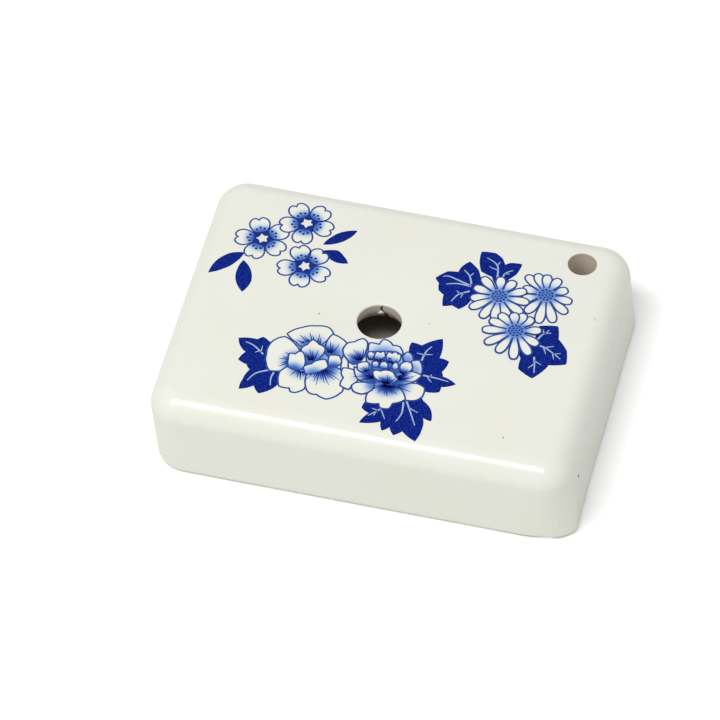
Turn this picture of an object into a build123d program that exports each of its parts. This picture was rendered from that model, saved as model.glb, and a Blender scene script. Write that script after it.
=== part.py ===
from build123d import *
import math
import os

# Glazed block
roof_length = 80.0
roof_width = 60.0
block_height = 18.0
lean_offset = 1.7
corner_radius = 5.2

# Porcelain body
wall_thickness = 4.0
roof_thickness = 4.2
foot_bevel = 0.7
foot_recess = 0.8
slab_thickness = 2.4

# Luting seam
seam_gap = 0.25
bead_width = 0.9
bead_height = 1.1
bead_lip = 0.15
bead_corner_radius = 0.8

# Glaze and ink
glaze_thickness = 0.3
glaze_stop = 1.0
ink_thickness = 0.05

# Holes, the finger hole from the middle of the roof and the spout from its right and rear sides
finger_radius = 4.15
finger_x = -2.02
finger_y = -0.3
spout_radius = 2.72
spout_from_side = 8.46
spout_from_rear = 7.51
rim_ease = 0.4
bare_rim_ease = 0.22
under_rim_ease = 0.85
ink_clearance = 0.1
cut_overrun = 2.0

# The sprays are drawn on a sheet of squares that covers the roof, and every share below counts squares
sheet_columns = 80
sheet_rows = 60
square = min(roof_length / sheet_columns, roof_width / sheet_rows)

# Cherry spray
cherry_radius_share = 5.6
cherry_centre_shares = [(-21.0, 20.15), (-28.4, 14.4), (-19.3, 9.75)]
cherry_turns = [[56, 129, 199, 270, 351], [40, 112, 188, 259, 330], [57, 117, 199, 268, 339]]
cherry_eye_share = 2.58
cherry_petal_half_shares = [(0.2, 0.1), (0.46, 0.3), (0.7, 0.38), (0.88, 0.3), (0.98, 0.16)]
cherry_notch_share = 0.87
cherry_leaf_shares = [
    [(-30.6, 10.3), (-33.1, 9.6), (-35.2, 7.2), (-36.0, 3.9), (-33.4, 5.5), (-31.6, 7.6)],
    [(-30.3, 8.4), (-30.9, 6.0), (-30.5, 3.2), (-28.6, 0.7), (-27.6, 3.6), (-28.4, 6.4)],
    [(-16.8, 15.7), (-15.7, 17.9), (-14.0, 19.6), (-11.3, 20.6), (-12.4, 18.3), (-14.3, 16.6)],
    [(-16.6, 14.1), (-13.7, 14.9), (-12.3, 13.8), (-11.1, 12.2), (-13.2, 11.9), (-15.0, 12.7)],
]
cherry_leaf_bulge_share = 0.06

# Peony spray
peony_left_shares = [
    (-6.2, -6.9), (-8.2, -5.8), (-9.6, -5.2), (-11.6, -3.9), (-15.6, -4.5), (-18.1, -7.2), (-20.1, -9.9),
    (-20.3, -13.2), (-19.9, -16.4), (-17.0, -17.2), (-16.8, -20.1), (-14.4, -20.0), (-11.8, -20.0),
    (-10.0, -19.8), (-5.6, -19.8), (-4.5, -17.9),
]
peony_right_shares = [
    (8.0, -8.3), (6.1, -7.9), (5.0, -6.3), (3.8, -6.8), (3.2, -5.3), (1.9, -5.0), (-0.7, -5.3),
    (-2.6, -5.7), (-4.9, -6.2), (-7.0, -7.1), (-6.6, -12.0), (-4.6, -17.9), (-3.2, -17.9), (0.0, -18.0),
    (0.3, -20.1), (2.8, -19.7), (4.8, -20.0), (6.7, -19.0), (7.4, -17.4), (9.6, -16.9), (10.0, -13.8),
    (8.9, -13.1), (8.9, -11.5), (8.2, -10.4),
]
peony_bulge_share = 0.17
peony_leaf_left_shares = [
    (-20.0, -10.0), (-20.7, -9.9), (-22.0, -9.1), (-22.9, -9.9), (-26.4, -10.4), (-25.5, -12.4),
    (-24.3, -13.4), (-25.2, -15.5), (-23.4, -16.3), (-22.5, -17.4), (-23.2, -20.0), (-23.3, -22.4),
    (-20.8, -21.0), (-19.5, -22.6), (-17.2, -20.8), (-16.2, -18.4), (-18.6, -15.2), (-18.9, -12.4),
]
peony_leaf_right_shares = [
    (6.0, -9.6), (4.9, -5.6), (5.0, -3.9), (7.0, -4.2), (10.4, -1.7), (10.9, -6.4), (12.8, -6.8),
    (12.1, -9.6), (12.5, -10.6), (15.3, -11.9), (12.8, -13.2), (12.7, -14.5), (10.2, -15.0), (8.2, -14.2),
]
peony_leaf_front_shares = [
    (0.4, -18.9), (-0.3, -21.4), (1.3, -22.4), (0.1, -25.0), (3.9, -23.9), (4.6, -25.9), (5.8, -24.8),
    (6.9, -26.4), (8.3, -25.2), (11.1, -26.8), (11.7, -24.0), (11.3, -21.2), (12.9, -21.6), (12.2, -18.9),
    (10.4, -17.2), (9.0, -15.8), (5.0, -17.0),
]

# Chrysanthemum spray, each petal as its direction in degrees and its reach
chrysanthemum_centre_shares = [(18.2, 10.9), (26.6, 13.3), (23.1, 3.3)]
chrysanthemum_turns = [
    [65, 98, 136, 167, 198, 221, 251, 274, 300, 328, 357, 28],
    [139, 120, 99, 70, 31, 353, 323, 294, 271, 242, 206, 171],
    [190, 221, 250, 279, 306, 333, 14, 57, 82, 107, 138, 164],
]
chrysanthemum_reach_shares = [
    [4.8, 4.8, 5.6, 5.2, 5.4, 6.2, 6.3, 5.8, 6.0, 6.0, 5.8, 5.3],
    [6.0, 5.5, 5.0, 4.8, 4.3, 5.1, 5.9, 6.9, 7.1, 5.8, 4.6, 4.6],
    [6.2, 6.5, 6.3, 6.9, 6.4, 5.4, 4.8, 4.5, 4.5, 4.4, 5.1, 5.5],
]
petal_width_share = 0.82
petal_half_shares = [(0.25, 0.0), (0.8, 1.0), (0.92, 0.8), (1.0, 0.3)]
petal_eye_share = 2.9
chrysanthemum_leaf_left_shares = [
    (13.3, 10.2), (13.1, 8.6), (12.6, 7.4), (11.6, 6.3), (10.2, 6.9), (8.6, 6.3), (8.2, 9.0), (7.0, 9.9),
    (6.7, 11.6), (5.8, 12.6), (7.6, 14.6), (9.6, 14.9), (9.9, 16.4), (11.0, 17.9), (12.9, 16.3),
    (14.0, 13.6), (15.4, 12.6), (15.6, 10.9),
]
chrysanthemum_leaf_rear_shares = [
    (17.2, 13.4), (15.9, 15.5), (13.7, 16.3), (12.9, 18.4), (12.7, 20.9), (15.2, 21.1), (16.6, 20.2),
    (17.5, 18.6), (18.5, 19.4), (20.5, 19.6), (20.0, 17.1), (18.9, 15.6), (18.2, 13.4),
]
chrysanthemum_leaf_right_shares = [
    (27.2, 2.0), (27.2, 5.5), (30.4, 6.2), (31.1, 3.2), (33.2, 0.8), (33.8, -2.3), (30.7, -3.2),
    (30.2, -4.5), (28.5, -7.0), (25.7, -5.4), (25.6, -2.9), (24.6, -0.6), (25.6, 1.2),
]

os.makedirs("parts", exist_ok=True)


def lean_x(z):
    """Where the middle of the block stands along X at a height."""
    return lean_offset * (block_height / 2 - z) / block_height


def prism(inset, low, high):
    """Leaning prism with sharp edges, its side view drawn out to the width of the block."""
    half = roof_length / 2 - inset
    low_x, high_x = lean_x(low), lean_x(high)
    corners = [(low_x - half, low), (low_x + half, low), (high_x + half, high), (high_x - half, high)]
    side = Plane.XZ * make_face(Polyline(*corners, close=True))
    return extrude(side, roof_width / 2 - inset, both=True)


def basin(low_inset, high_inset, low, high, radius):
    """Leaning prism with sloped sides and rounded corners, each end drawn in by its own inset."""
    faces = []
    for inset, z in ((low_inset, low), (high_inset, high)):
        outline = RectangleRounded(roof_length - 2 * inset, roof_width - 2 * inset, radius)
        faces.append(Plane.XY.offset(z) * Pos(lean_x(z), 0) * outline)
    return loft(faces, ruled=True)


def uprights(solid):
    """The four edges that rise from the foot to the top."""
    return solid.edges().filter_by(lambda edge: edge.bounding_box().size.Z > 0)


def top_edges(solid):
    """The edges round the top face."""
    return solid.faces().sort_by(Axis.Z)[-1].edges()


def block(inset, low, high):
    """Leaning block with rounded upright corners, drawn in by an inset."""
    solid = prism(inset, low, high)
    return fillet(uprights(solid), corner_radius - inset)


def domed_block(inset, low, high):
    """Leaning block with its upright corners and top edge rounded alike, so each corner is a ball."""
    solid = prism(inset, low, high)
    return fillet(uprights(solid) + top_edges(solid), corner_radius - inset)


def bevel_foot(solid, width):
    """Bevels the lower edge all round."""
    return chamfer(solid.faces().sort_by(Axis.Z)[0].edges(), width)


def on_roof(x, y):
    """Place on the roof, from its own middle."""
    return Pos(lean_x(block_height) + x, y)


def holes(margin):
    """Place and radius of both holes, with a margin round each."""
    spout_x, spout_y = roof_length / 2 - spout_from_side, roof_width / 2 - spout_from_rear
    yield finger_x, finger_y, finger_radius + margin
    yield spout_x, spout_y, spout_radius + margin


def hole_at(x, y, radius):
    """Upright round cutter through the whole block."""
    return on_roof(x, y) * Cylinder(radius, 2 * (block_height + cut_overrun))


def pierce(solid, inset, ease):
    """Both holes through the roof, the finger hole's rim eased and the spout's left crisp."""
    for x, y, radius in holes(inset):
        solid = solid - hole_at(x, y, radius)
    wanted = finger_radius + inset
    circles = top_edges(solid).filter_by(GeomType.CIRCLE)
    return chamfer(circles.filter_by(lambda edge: abs(edge.radius - wanted) < ease), ease)


def under_rim():
    """Cone that eases the lower rim of the finger hole."""
    low, high = -cut_overrun, under_rim_ease
    cone = Cone(finger_radius + high - low, finger_radius, high - low)
    return on_roof(finger_x, finger_y) * Pos(0, 0, block_height - roof_thickness + (low + high) / 2) * cone


def cavity():
    """Hollow for the water, open at the bottom."""
    return domed_block(wall_thickness, -cut_overrun, block_height - roof_thickness) + under_rim()


def glazed_form():
    """Outer form of the glazed block above the bare foot band."""
    return pierce(domed_block(0, glaze_stop, block_height), 0, rim_ease)


def bare_form():
    """Porcelain form under the glaze, not yet hollow."""
    solid = domed_block(glaze_thickness, 0, block_height - glaze_thickness)
    return pierce(bevel_foot(solid, foot_bevel), glaze_thickness, bare_rim_ease)


def make_upper_shell():
    """Roof and four walls in one piece."""
    return bare_form() - cavity()


def make_base_slab():
    """Floor of the cavity, set up inside the walls."""
    return block(wall_thickness + seam_gap, foot_recess, foot_recess + slab_thickness)


def make_luting_slip():
    """Slip that fills the seam round the slab and stands as a bead in the corner above it."""
    slab_top = foot_recess + slab_thickness
    seam = block(wall_thickness, foot_recess, slab_top)
    seam = seam - block(wall_thickness + seam_gap, foot_recess - cut_overrun, slab_top + cut_overrun)
    bead = block(wall_thickness, slab_top, slab_top + bead_height)
    foot_inset, top_inset = wall_thickness + seam_gap + bead_width, wall_thickness + bead_lip
    hollow = basin(foot_inset, top_inset, slab_top, slab_top + bead_height, bead_corner_radius)
    return seam + (bead - hollow)


def make_glaze_coat():
    """Glass skin over the roof, the walls and the hole walls."""
    return glazed_form() - bare_form() - cavity()


def swept_area(points):
    """Signed area of a closed outline, positive when it runs anticlockwise."""
    pairs = zip(points, points[1:] + points[:1])
    return sum(a[0] * b[1] - b[0] * a[1] for a, b in pairs) / 2


def outlined(points):
    """Face inside a closed chain of straight sides."""
    return make_face(Polyline(*points, close=True))


def arc_face(points, bulge_share):
    """Face inside a closed chain of arcs that all swell outwards by a share of their chords."""
    if swept_area(points) < 0:
        points = points[::-1]
    edges = []
    for a, b in zip(points, points[1:] + points[:1]):
        chord = math.dist(a, b)
        edges.append(SagittaArc(a, b, -bulge_share * chord))
    return make_face(Curve() + edges)


def drawn(shares, bulge_share):
    """Face from points given in squares, its sides swelling as arcs."""
    return arc_face([(x * square, y * square) for x, y in shares], bulge_share)


def lobed(shares):
    """Face of a jagged leaf from points given in squares."""
    return outlined([(x * square, y * square) for x, y in shares])


def turned(points, turn, centre):
    """Points turned about the origin and moved to a centre."""
    angle = math.radians(turn)
    cos, sin = math.cos(angle), math.sin(angle)
    return [(centre[0] + u * cos - v * sin, centre[1] + u * sin + v * cos) for u, v in points]


def cherry_sketch():
    """Three five-petalled blossoms that overlap."""
    radius = cherry_radius_share * square
    left = [(u * radius, v * radius) for u, v in cherry_petal_half_shares]
    right = [(x, -y) for x, y in left]
    petal = right + [(cherry_notch_share * radius, 0)] + left[::-1]
    faces = []
    for share, turns in zip(cherry_centre_shares, cherry_turns):
        centre = (share[0] * square, share[1] * square)
        faces.append(Pos(*centre) * Circle(cherry_eye_share * square))
        for turn in turns:
            faces.append(outlined(turned(petal, turn, centre)))
    return Sketch() + faces


def long_petal(reach):
    """Blunt petal lying along X, widest at its shoulder."""
    right = [(u * reach, -v * petal_width_share * square) for u, v in petal_half_shares]
    left = [(x, -y) for x, y in right[:0:-1]]
    return outlined(right + left)


def chrysanthemum_sketch():
    """Three blossoms of twelve long petals each."""
    faces = []
    for share, turns, reaches in zip(
        chrysanthemum_centre_shares, chrysanthemum_turns, chrysanthemum_reach_shares
    ):
        place = Pos(share[0] * square, share[1] * square)
        faces.append(place * Circle(petal_eye_share * square))
        for turn, reach in zip(turns, reaches):
            faces.append(place * Rot(0, 0, turn) * long_petal(reach * square))
    return Sketch() + faces


def peony_sketch():
    """Two scalloped blossoms side by side."""
    return drawn(peony_left_shares, peony_bulge_share) + drawn(peony_right_shares, peony_bulge_share)


def ink_sketches():
    """Every patch of ink as a flat sketch, leaves cut back behind their blossoms."""
    cherry, peony, chrysanthemum = cherry_sketch(), peony_sketch(), chrysanthemum_sketch()
    patches = {
        "cherry_blossoms": cherry,
        "peony_blossoms": peony,
        "chrysanthemum_blossoms": chrysanthemum,
        "peony_leaves_left": lobed(peony_leaf_left_shares) - peony,
        "peony_leaves_right": lobed(peony_leaf_right_shares) - peony,
        "peony_leaves_front": lobed(peony_leaf_front_shares) - peony,
        "chrysanthemum_leaves_left": lobed(chrysanthemum_leaf_left_shares) - chrysanthemum,
        "chrysanthemum_leaves_rear": lobed(chrysanthemum_leaf_rear_shares) - chrysanthemum,
        "chrysanthemum_leaves_right": lobed(chrysanthemum_leaf_right_shares) - chrysanthemum,
    }
    for number, shares in enumerate(cherry_leaf_shares, 1):
        patches[f"cherry_leaf_{number}"] = drawn(shares, cherry_leaf_bulge_share) - cherry
    return patches


def make_ink():
    """Thin ink patches fired onto the glaze, following its rounded edge."""
    skin = domed_block(-ink_thickness, glaze_stop, block_height + ink_thickness)
    skin = skin - domed_block(0, glaze_stop - cut_overrun, block_height)
    rims = [hole_at(x, y, radius) for x, y, radius in holes(rim_ease + ink_clearance)]
    ink = {}
    for name, sketch in ink_sketches().items():
        base = on_roof(0, 0) * Pos(0, 0, block_height - corner_radius / 2) * sketch
        ink[name] = (extrude(base, corner_radius / 2 + cut_overrun) & skin) - rims
    return ink


def main():
    """Builds every piece, centres them on the foot and writes one file for each."""
    pieces = {
        "upper_shell": make_upper_shell(),
        "base_slab": make_base_slab(),
        "luting_slip": make_luting_slip(),
        "glaze_coat": make_glaze_coat(),
    }
    pieces.update(make_ink())
    box = pieces["glaze_coat"].bounding_box()
    centred = Pos(-(box.min.X + box.max.X) / 2, 0)
    for name, piece in pieces.items():
        export_step(centred * piece, f"parts/{name}.step")


main()
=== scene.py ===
"""Looks of a glazed porcelain water dropper for calligraphy, with blue flower sprays printed on its roof."""

import logging
import math
from dataclasses import dataclass, field, replace
from enum import Enum
from typing import Any, Callable, Iterable, Sequence, Union

import bpy
from mathutils import Matrix, Vector
from mathutils.geometry import delaunay_2d_cdt


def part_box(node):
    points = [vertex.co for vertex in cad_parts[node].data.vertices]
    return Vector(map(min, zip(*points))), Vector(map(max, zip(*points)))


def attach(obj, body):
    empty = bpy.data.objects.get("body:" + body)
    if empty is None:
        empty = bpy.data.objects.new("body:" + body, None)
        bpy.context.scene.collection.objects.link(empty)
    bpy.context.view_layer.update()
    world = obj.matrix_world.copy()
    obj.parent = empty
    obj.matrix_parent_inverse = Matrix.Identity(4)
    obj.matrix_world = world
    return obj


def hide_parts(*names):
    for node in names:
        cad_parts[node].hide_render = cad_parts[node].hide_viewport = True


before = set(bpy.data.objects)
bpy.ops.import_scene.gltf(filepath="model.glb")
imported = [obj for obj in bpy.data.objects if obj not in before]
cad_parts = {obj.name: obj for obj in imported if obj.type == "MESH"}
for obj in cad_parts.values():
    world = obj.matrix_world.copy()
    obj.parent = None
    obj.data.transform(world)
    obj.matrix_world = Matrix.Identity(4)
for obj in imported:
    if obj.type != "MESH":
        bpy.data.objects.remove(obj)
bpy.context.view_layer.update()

MM = 0.001
FULL_TONE = 1.0
LOG = logging.getLogger("water_dropper")

Point = tuple[float, float]
Place = tuple[float, float, float]
Colour = tuple[float, float, float]
Face = tuple[int, ...]
Line = list[Point]
Tone = Union[float, Callable[[float, float], float]]


class Slot(Enum):
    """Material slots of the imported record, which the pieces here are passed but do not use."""

    BODY = "porcelain_body"
    GLAZE = "clear_glaze"
    LINE = "cobalt_line"
    LEAF = "cobalt_leaf"


class Value:
    """A number socket that takes part in Python expressions."""

    def __init__(self, shader: "Shader", socket: Any) -> None:
        """Wraps an output socket that gives one number, with the shader that it belongs to."""
        self.shader = shader
        self.socket = socket

    def _with(self, operation: str, *terms: Any) -> "Value":
        """Result of one more Math node, whose terms are numbers or values in the node's order."""
        node = self.shader.add("ShaderNodeMath", {"operation": operation}, dict(enumerate(terms)))
        return Value(self.shader, node.outputs[0])

    def __add__(self, other: Any) -> "Value":
        """Adds."""
        return self._with("ADD", self, other)

    def __radd__(self, other: Any) -> "Value":
        """Adds, reflected."""
        return self._with("ADD", other, self)

    def __sub__(self, other: Any) -> "Value":
        """Subtracts."""
        return self._with("SUBTRACT", self, other)

    def __rsub__(self, other: Any) -> "Value":
        """Subtracts, reflected."""
        return self._with("SUBTRACT", other, self)

    def __mul__(self, other: Any) -> "Value":
        """Multiplies."""
        return self._with("MULTIPLY", self, other)

    def __rmul__(self, other: Any) -> "Value":
        """Multiplies, reflected."""
        return self._with("MULTIPLY", other, self)

    def step(self, low: float, high: float) -> "Value":
        """Smooth step.

        Args:
            low: Where the step starts, at 0.
            high: Where the step ends, at 1.

        Returns:
            The stepped value.
        """
        terms = {"Value": self, "From Min": low, "From Max": high}
        node = self.shader.add("ShaderNodeMapRange", {"interpolation_type": "SMOOTHSTEP"}, terms)
        return Value(self.shader, node.outputs["Result"])


class Shader:
    """Node tree of one material or of the world."""

    def __init__(self, tree: Any) -> None:
        """Empties a node tree and keeps it to build in."""
        self.tree = tree
        tree.nodes.clear()

    def add(self, kind: str, settings: dict[str, Any], sockets: dict[Any, Any]) -> Any:
        """Adds one node.

        Args:
            kind: The node's type.
            settings: Attributes set first; "stops" holds the (place, colour) pairs of a ramp.
            sockets: A number, colour, value or output socket for each input, by name or index.

        Returns:
            The node.
        """
        node = self.tree.nodes.new(kind)
        for name, setting in settings.items():
            if name == "stops":
                self._set_stops(node.color_ramp, setting)
            else:
                setattr(node, name, setting)
        for key, given in sockets.items():
            source = given.socket if isinstance(given, Value) else given
            if isinstance(source, bpy.types.NodeSocket):
                self.tree.links.new(source, node.inputs[key])
            else:
                node.inputs[key].default_value = source
        return node

    @staticmethod
    def _set_stops(ramp: Any, stops: Sequence[tuple[float, Colour]]) -> None:
        """Writes the stops of a ramp.

        Args:
            ramp: The ramp.
            stops: Its (place, colour) pairs, from 0 to 1.
        """
        while len(ramp.elements) < len(stops):
            ramp.elements.new(1.0)
        for element, (place, colour) in zip(ramp.elements, stops):
            element.position = place
            element.color = (*colour, 1.0)

    def place(self) -> Any:
        """Position in the frame, in metres, since every object stands at the origin."""
        return self.add("ShaderNodeTexCoord", {}, {}).outputs["Object"]

    def height(self) -> Value:
        """Height above the table, in metres."""
        return Value(self, self.add("ShaderNodeSeparateXYZ", {}, {0: self.place()}).outputs[2])

    def distance(self, centre: Place) -> Value:
        """Distance in metres from a place given in millimetres."""
        sockets = {0: self.place(), 1: tuple(MM * value for value in centre)}
        return Value(self, self.add("ShaderNodeVectorMath", {"operation": "DISTANCE"}, sockets).outputs["Value"])

    def written(self, name: str) -> Value:
        """Value that the mesh itself holds at each point, by the name of the attribute."""
        return Value(self, self.add("ShaderNodeAttribute", {"attribute_name": name}, {}).outputs["Fac"])

    def noise(self, grain: float, detail: float = 2.0, rough: float = 0.5) -> Value:
        """Smooth noise round 0.5, from the size of its patches in millimetres, its octaves and their weight."""
        sockets = {"Vector": self.place(), "Scale": 1 / (grain * MM), "Detail": detail, "Roughness": rough}
        return Value(self, self.add("ShaderNodeTexNoise", {}, sockets).outputs[0])

    def specks(self, spacing: float, radius: float, share: float) -> Value:
        """Scattered round specks.

        Args:
            spacing: Mean distance between the places of specks, in millimetres.
            radius: Radius of a speck, in millimetres.
            share: Share of the places that hold one.

        Returns:
            1 in a speck and 0 elsewhere.
        """
        node = self.add(
            "ShaderNodeTexVoronoi", {"feature": "F1"}, {"Vector": self.place(), "Scale": 1 / (spacing * MM)}
        )
        chance = self.add("ShaderNodeSeparateColor", {}, {0: node.outputs["Color"]}).outputs[0]
        core, sharpness = 0.4 * radius, 0.01
        inside = 1 - Value(self, node.outputs["Distance"]).step(core / spacing, radius / spacing)
        return inside * (1 - Value(self, chance).step(share, share + sharpness))

    def mix(self, share: Any, first: Any, second: Any, blend: str = "MIX") -> Any:
        """Socket of two mixed colours, the share being that of the second."""
        settings = {"data_type": "RGBA", "blend_type": blend}
        return self.add("ShaderNodeMix", settings, {0: share, 6: first, 7: second}).outputs[2]

    def bump(self, height: Value, depth: float) -> Any:
        """Socket of the normal of a small relief, from its height of 0 to 1 and its depth in millimetres."""
        return self.add("ShaderNodeBump", {}, {"Height": height, "Distance": depth * MM}).outputs[0]

    def close(self, sockets: dict[Any, Any]) -> None:
        """Ends a surface material in a Principled shader with these inputs."""
        surface = self.add("ShaderNodeBsdfPrincipled", {}, sockets).outputs[0]
        self.add("ShaderNodeOutputMaterial", {}, {"Surface": surface})


def rgba(red: float, green: float, blue: float) -> tuple[float, float, float, float]:
    """Opaque colour in linear light."""
    return (red, green, blue, 1.0)


@dataclass(frozen=True)
class GlazeFinish:
    """Clear glossy glaze over white porcelain, a little uneven in tone and surface.

    A noise is given by the size of its patches in millimetres and its octaves, and specks by their spacing, their
    radius and the share of places that hold one. The other finishes say it in the same way.
    """

    white: Colour = (0.772, 0.778, 0.706)
    warm: Colour = (0.76, 0.75, 0.64)
    speck: Colour = (0.62, 0.53, 0.36)
    # tone that the glaze turns towards down the lining of the holes
    lining_dark: Colour = (0.62, 0.55, 0.47)
    cloud: tuple[float, float] = (14.0, 3.0)
    cloud_step: tuple[float, float] = (0.35, 0.75)
    cloud_share: float = 0.4
    grain: tuple[float, float] = (0.8, 2.0)
    grain_share: float = 0.03
    specks: tuple[float, float, float] = (9.0, 0.35, 0.16)
    speck_share: float = 0.45
    roughness: float = 0.16
    roughness_swing: float = 0.06
    roughness_grain: float = 5.0
    wide_relief: tuple[float, float] = (3.2, 1.0)
    fine_relief: tuple[float, float] = (0.9, 1.0)
    wide_share: float = 0.75
    relief_depth: float = 0.012

    def ground(self, shader: Shader) -> Any:
        """Colour of the glazed porcelain without ink.

        Args:
            shader: The shader to build in.

        Returns:
            The colour's socket.
        """
        cloud = shader.noise(*self.cloud).step(*self.cloud_step)
        grain = shader.noise(*self.grain)
        tone = shader.mix(self.cloud_share * cloud, rgba(*self.white), rgba(*self.warm))
        tone = shader.mix(self.grain_share * grain, tone, rgba(*self.warm))
        return shader.mix(self.speck_share * shader.specks(*self.specks), tone, rgba(*self.speck))

    def relief(self, shader: Shader) -> Any:
        """Soft unevenness of the fired surface.

        Args:
            shader: The shader to build in.

        Returns:
            The normal's socket.
        """
        wide = self.wide_share * shader.noise(*self.wide_relief)
        fine = (1 - self.wide_share) * shader.noise(*self.fine_relief)
        return shader.bump(wide + fine, self.relief_depth)

    def polish(self, shader: Shader) -> Value:
        """Roughness of the glaze, a little uneven."""
        return self.roughness + self.roughness_swing * shader.noise(self.roughness_grain)

    def dress(self, material: Any) -> None:
        """Builds the nodes of a material.

        Args:
            material: The material, with an empty or plain node tree.
        """
        shader = Shader(material.node_tree)
        # darker down the lining of the holes, by the share that the skin writes there
        lining_darkened = shader.mix(shader.written("tone"), self.ground(shader), rgba(*self.lining_dark))
        shader.close({
            "Base Color": lining_darkened,
            "Roughness": self.polish(shader),
            "Normal": self.relief(shader),
        })


@dataclass(frozen=True)
class InkFinish:
    """Cobalt on the white ground, from none to full blue by the drawing's own tone."""

    glaze: GlazeFinish = GlazeFinish()
    grain: tuple[float, float] = (0.5, 1.0)
    least: float = 0.91
    swing: float = 0.14
    gloss: float = 0.05
    stops: tuple[tuple[float, Colour], ...] = (
        (0.0, (1.0, 1.0, 1.0)),
        (0.2, (0.67, 0.78, 1.0)),
        (0.45, (0.28, 0.44, 0.90)),
        (0.7, (0.07, 0.18, 0.62)),
        (1.0, (0.0, 0.0112, 0.27)),
    )

    def dress(self, material: Any) -> None:
        """Builds the nodes of a material.

        Args:
            material: The material, with an empty or plain node tree.
        """
        shader = Shader(material.node_tree)
        uneven = shader.written("tone") * (self.least + self.swing * shader.noise(*self.grain))
        tint = shader.add("ShaderNodeValToRGB", {"stops": self.stops}, {0: uneven}).outputs[0]
        shader.close({
            "Base Color": shader.mix(1.0, self.glaze.ground(shader), tint, "MULTIPLY"),
            "Roughness": self.glaze.polish(shader),
            "Specular IOR Level": self.gloss,
            "Normal": self.glaze.relief(shader),
        })


@dataclass(frozen=True)
class BiscuitFinish:
    """Bare fired porcelain, matt and stained in clouds, turning towards a second tone above a band of heights."""

    pale: Colour = (0.76, 0.73, 0.66)
    stain: Colour = (0.50, 0.42, 0.31)
    hollow: Colour = (0.64, 0.57, 0.47)
    cloud: tuple[float, float, float] = (9.0, 4.0, 0.6)
    cloud_step: tuple[float, float] = (0.45, 0.8)
    stain_share: float = 0.35
    specks: tuple[float, float, float] = (4.0, 0.18, 0.3)
    speck_share: float = 0.6
    grain: tuple[float, float] = (0.35, 3.0)
    grain_share: float = 0.10
    upper_heights: tuple[float, float] = (1.6, 3.4)
    upper_least: float = 0.75
    # painted pool of light: a pale disc round the patch centre, in millimetres, fading out between the two reaches
    patch: Place = (0.0, 0.0, 0.0)
    lit_patch_reach: tuple[float, float] = (0.0, 0.0)
    lit_patch_share: float = 0.9
    roughness: float = 0.72
    roughness_swing: float = 0.16
    relief: tuple[float, float] = (1.6, 2.0)
    relief_depth: float = 0.012

    def dress(self, material: Any) -> None:
        """Builds the nodes of a material.

        Args:
            material: The material, with an empty or plain node tree.
        """
        shader = Shader(material.node_tree)
        cloud = shader.noise(*self.cloud).step(*self.cloud_step)
        grain = shader.noise(*self.grain)
        tone = shader.mix(self.stain_share * cloud, rgba(*self.pale), rgba(*self.stain))
        tone = shader.mix(self.speck_share * shader.specks(*self.specks), tone, rgba(*self.stain))
        # shifts towards the hollow tone above the band of heights, fully where the stain clouds lie
        above = shader.height().step(*(MM * height for height in self.upper_heights))
        upper_share = above * (self.upper_least + (1 - self.upper_least) * cloud)
        tone = shader.mix(upper_share, tone, rgba(*self.hollow))
        # painted pool of light: lifts the tone towards pale inside the disc round the patch centre
        if self.lit_patch_reach[1]:
            outside = shader.distance(self.patch).step(*(MM * reach for reach in self.lit_patch_reach))
            tone = shader.mix(self.lit_patch_share - self.lit_patch_share * outside, tone, rgba(*self.pale))
        shader.close({
            "Base Color": shader.mix(self.grain_share * grain, tone, rgba(*self.stain)),
            "Roughness": self.roughness + self.roughness_swing * grain,
            "Normal": shader.bump(0.5 * grain + 0.5 * shader.noise(*self.relief), self.relief_depth),
        })


@dataclass(frozen=True)
class StainFinish:
    """Dark stain that has settled in a crack or a pit."""

    dark: Colour = (0.035, 0.024, 0.015)
    brown: Colour = (0.14, 0.09, 0.05)
    cloud: tuple[float, float] = (0.5, 2.0)
    roughness: float = 0.6
    roughness_swing: float = 0.2
    relief_depth: float = 0.01

    def dress(self, material: Any) -> None:
        """Builds the nodes of a material.

        Args:
            material: The material, with an empty or plain node tree.
        """
        shader = Shader(material.node_tree)
        cloud = shader.noise(*self.cloud)
        shader.close({
            "Base Color": shader.mix(cloud, rgba(*self.dark), rgba(*self.brown)),
            "Roughness": self.roughness + self.roughness_swing * cloud,
            "Normal": shader.bump(cloud, self.relief_depth),
        })


class Finishes:
    """One material for each finish, made on first use."""

    def __init__(self) -> None:
        """Starts with no material."""
        self._made: dict[str, Any] = {}

    def get(self, name: str, finish: Any) -> Any:
        """Material of a finish.

        Args:
            name: The material's name.
            finish: The finish that dresses it.

        Returns:
            The material.
        """
        if name not in self._made:
            material = bpy.data.materials.new(name)
            material.use_nodes = True
            finish.dress(material)
            self._made[name] = material
        return self._made[name]


FINISHES = Finishes()


def smooth_step(value: float, low: float, high: float) -> float:
    """Smooth step from 0 at low to 1 at high."""
    share = min(max((value - low) / (high - low), 0.0), 1.0)
    return share * share * (3 - 2 * share)


def swell_step(value: float, low: float, top: float, high: float) -> float:
    """Smooth hill that rises from 0 at low to 1 at top and falls back to 0 at high."""
    return smooth_step(value, low, top) * (1 - smooth_step(value, top, high))


def polar(centre: Point, radius: float, degrees: float) -> Point:
    """Point at a distance and direction from a centre."""
    turn = math.radians(degrees)
    return (centre[0] + radius * math.cos(turn), centre[1] + radius * math.sin(turn))


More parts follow.
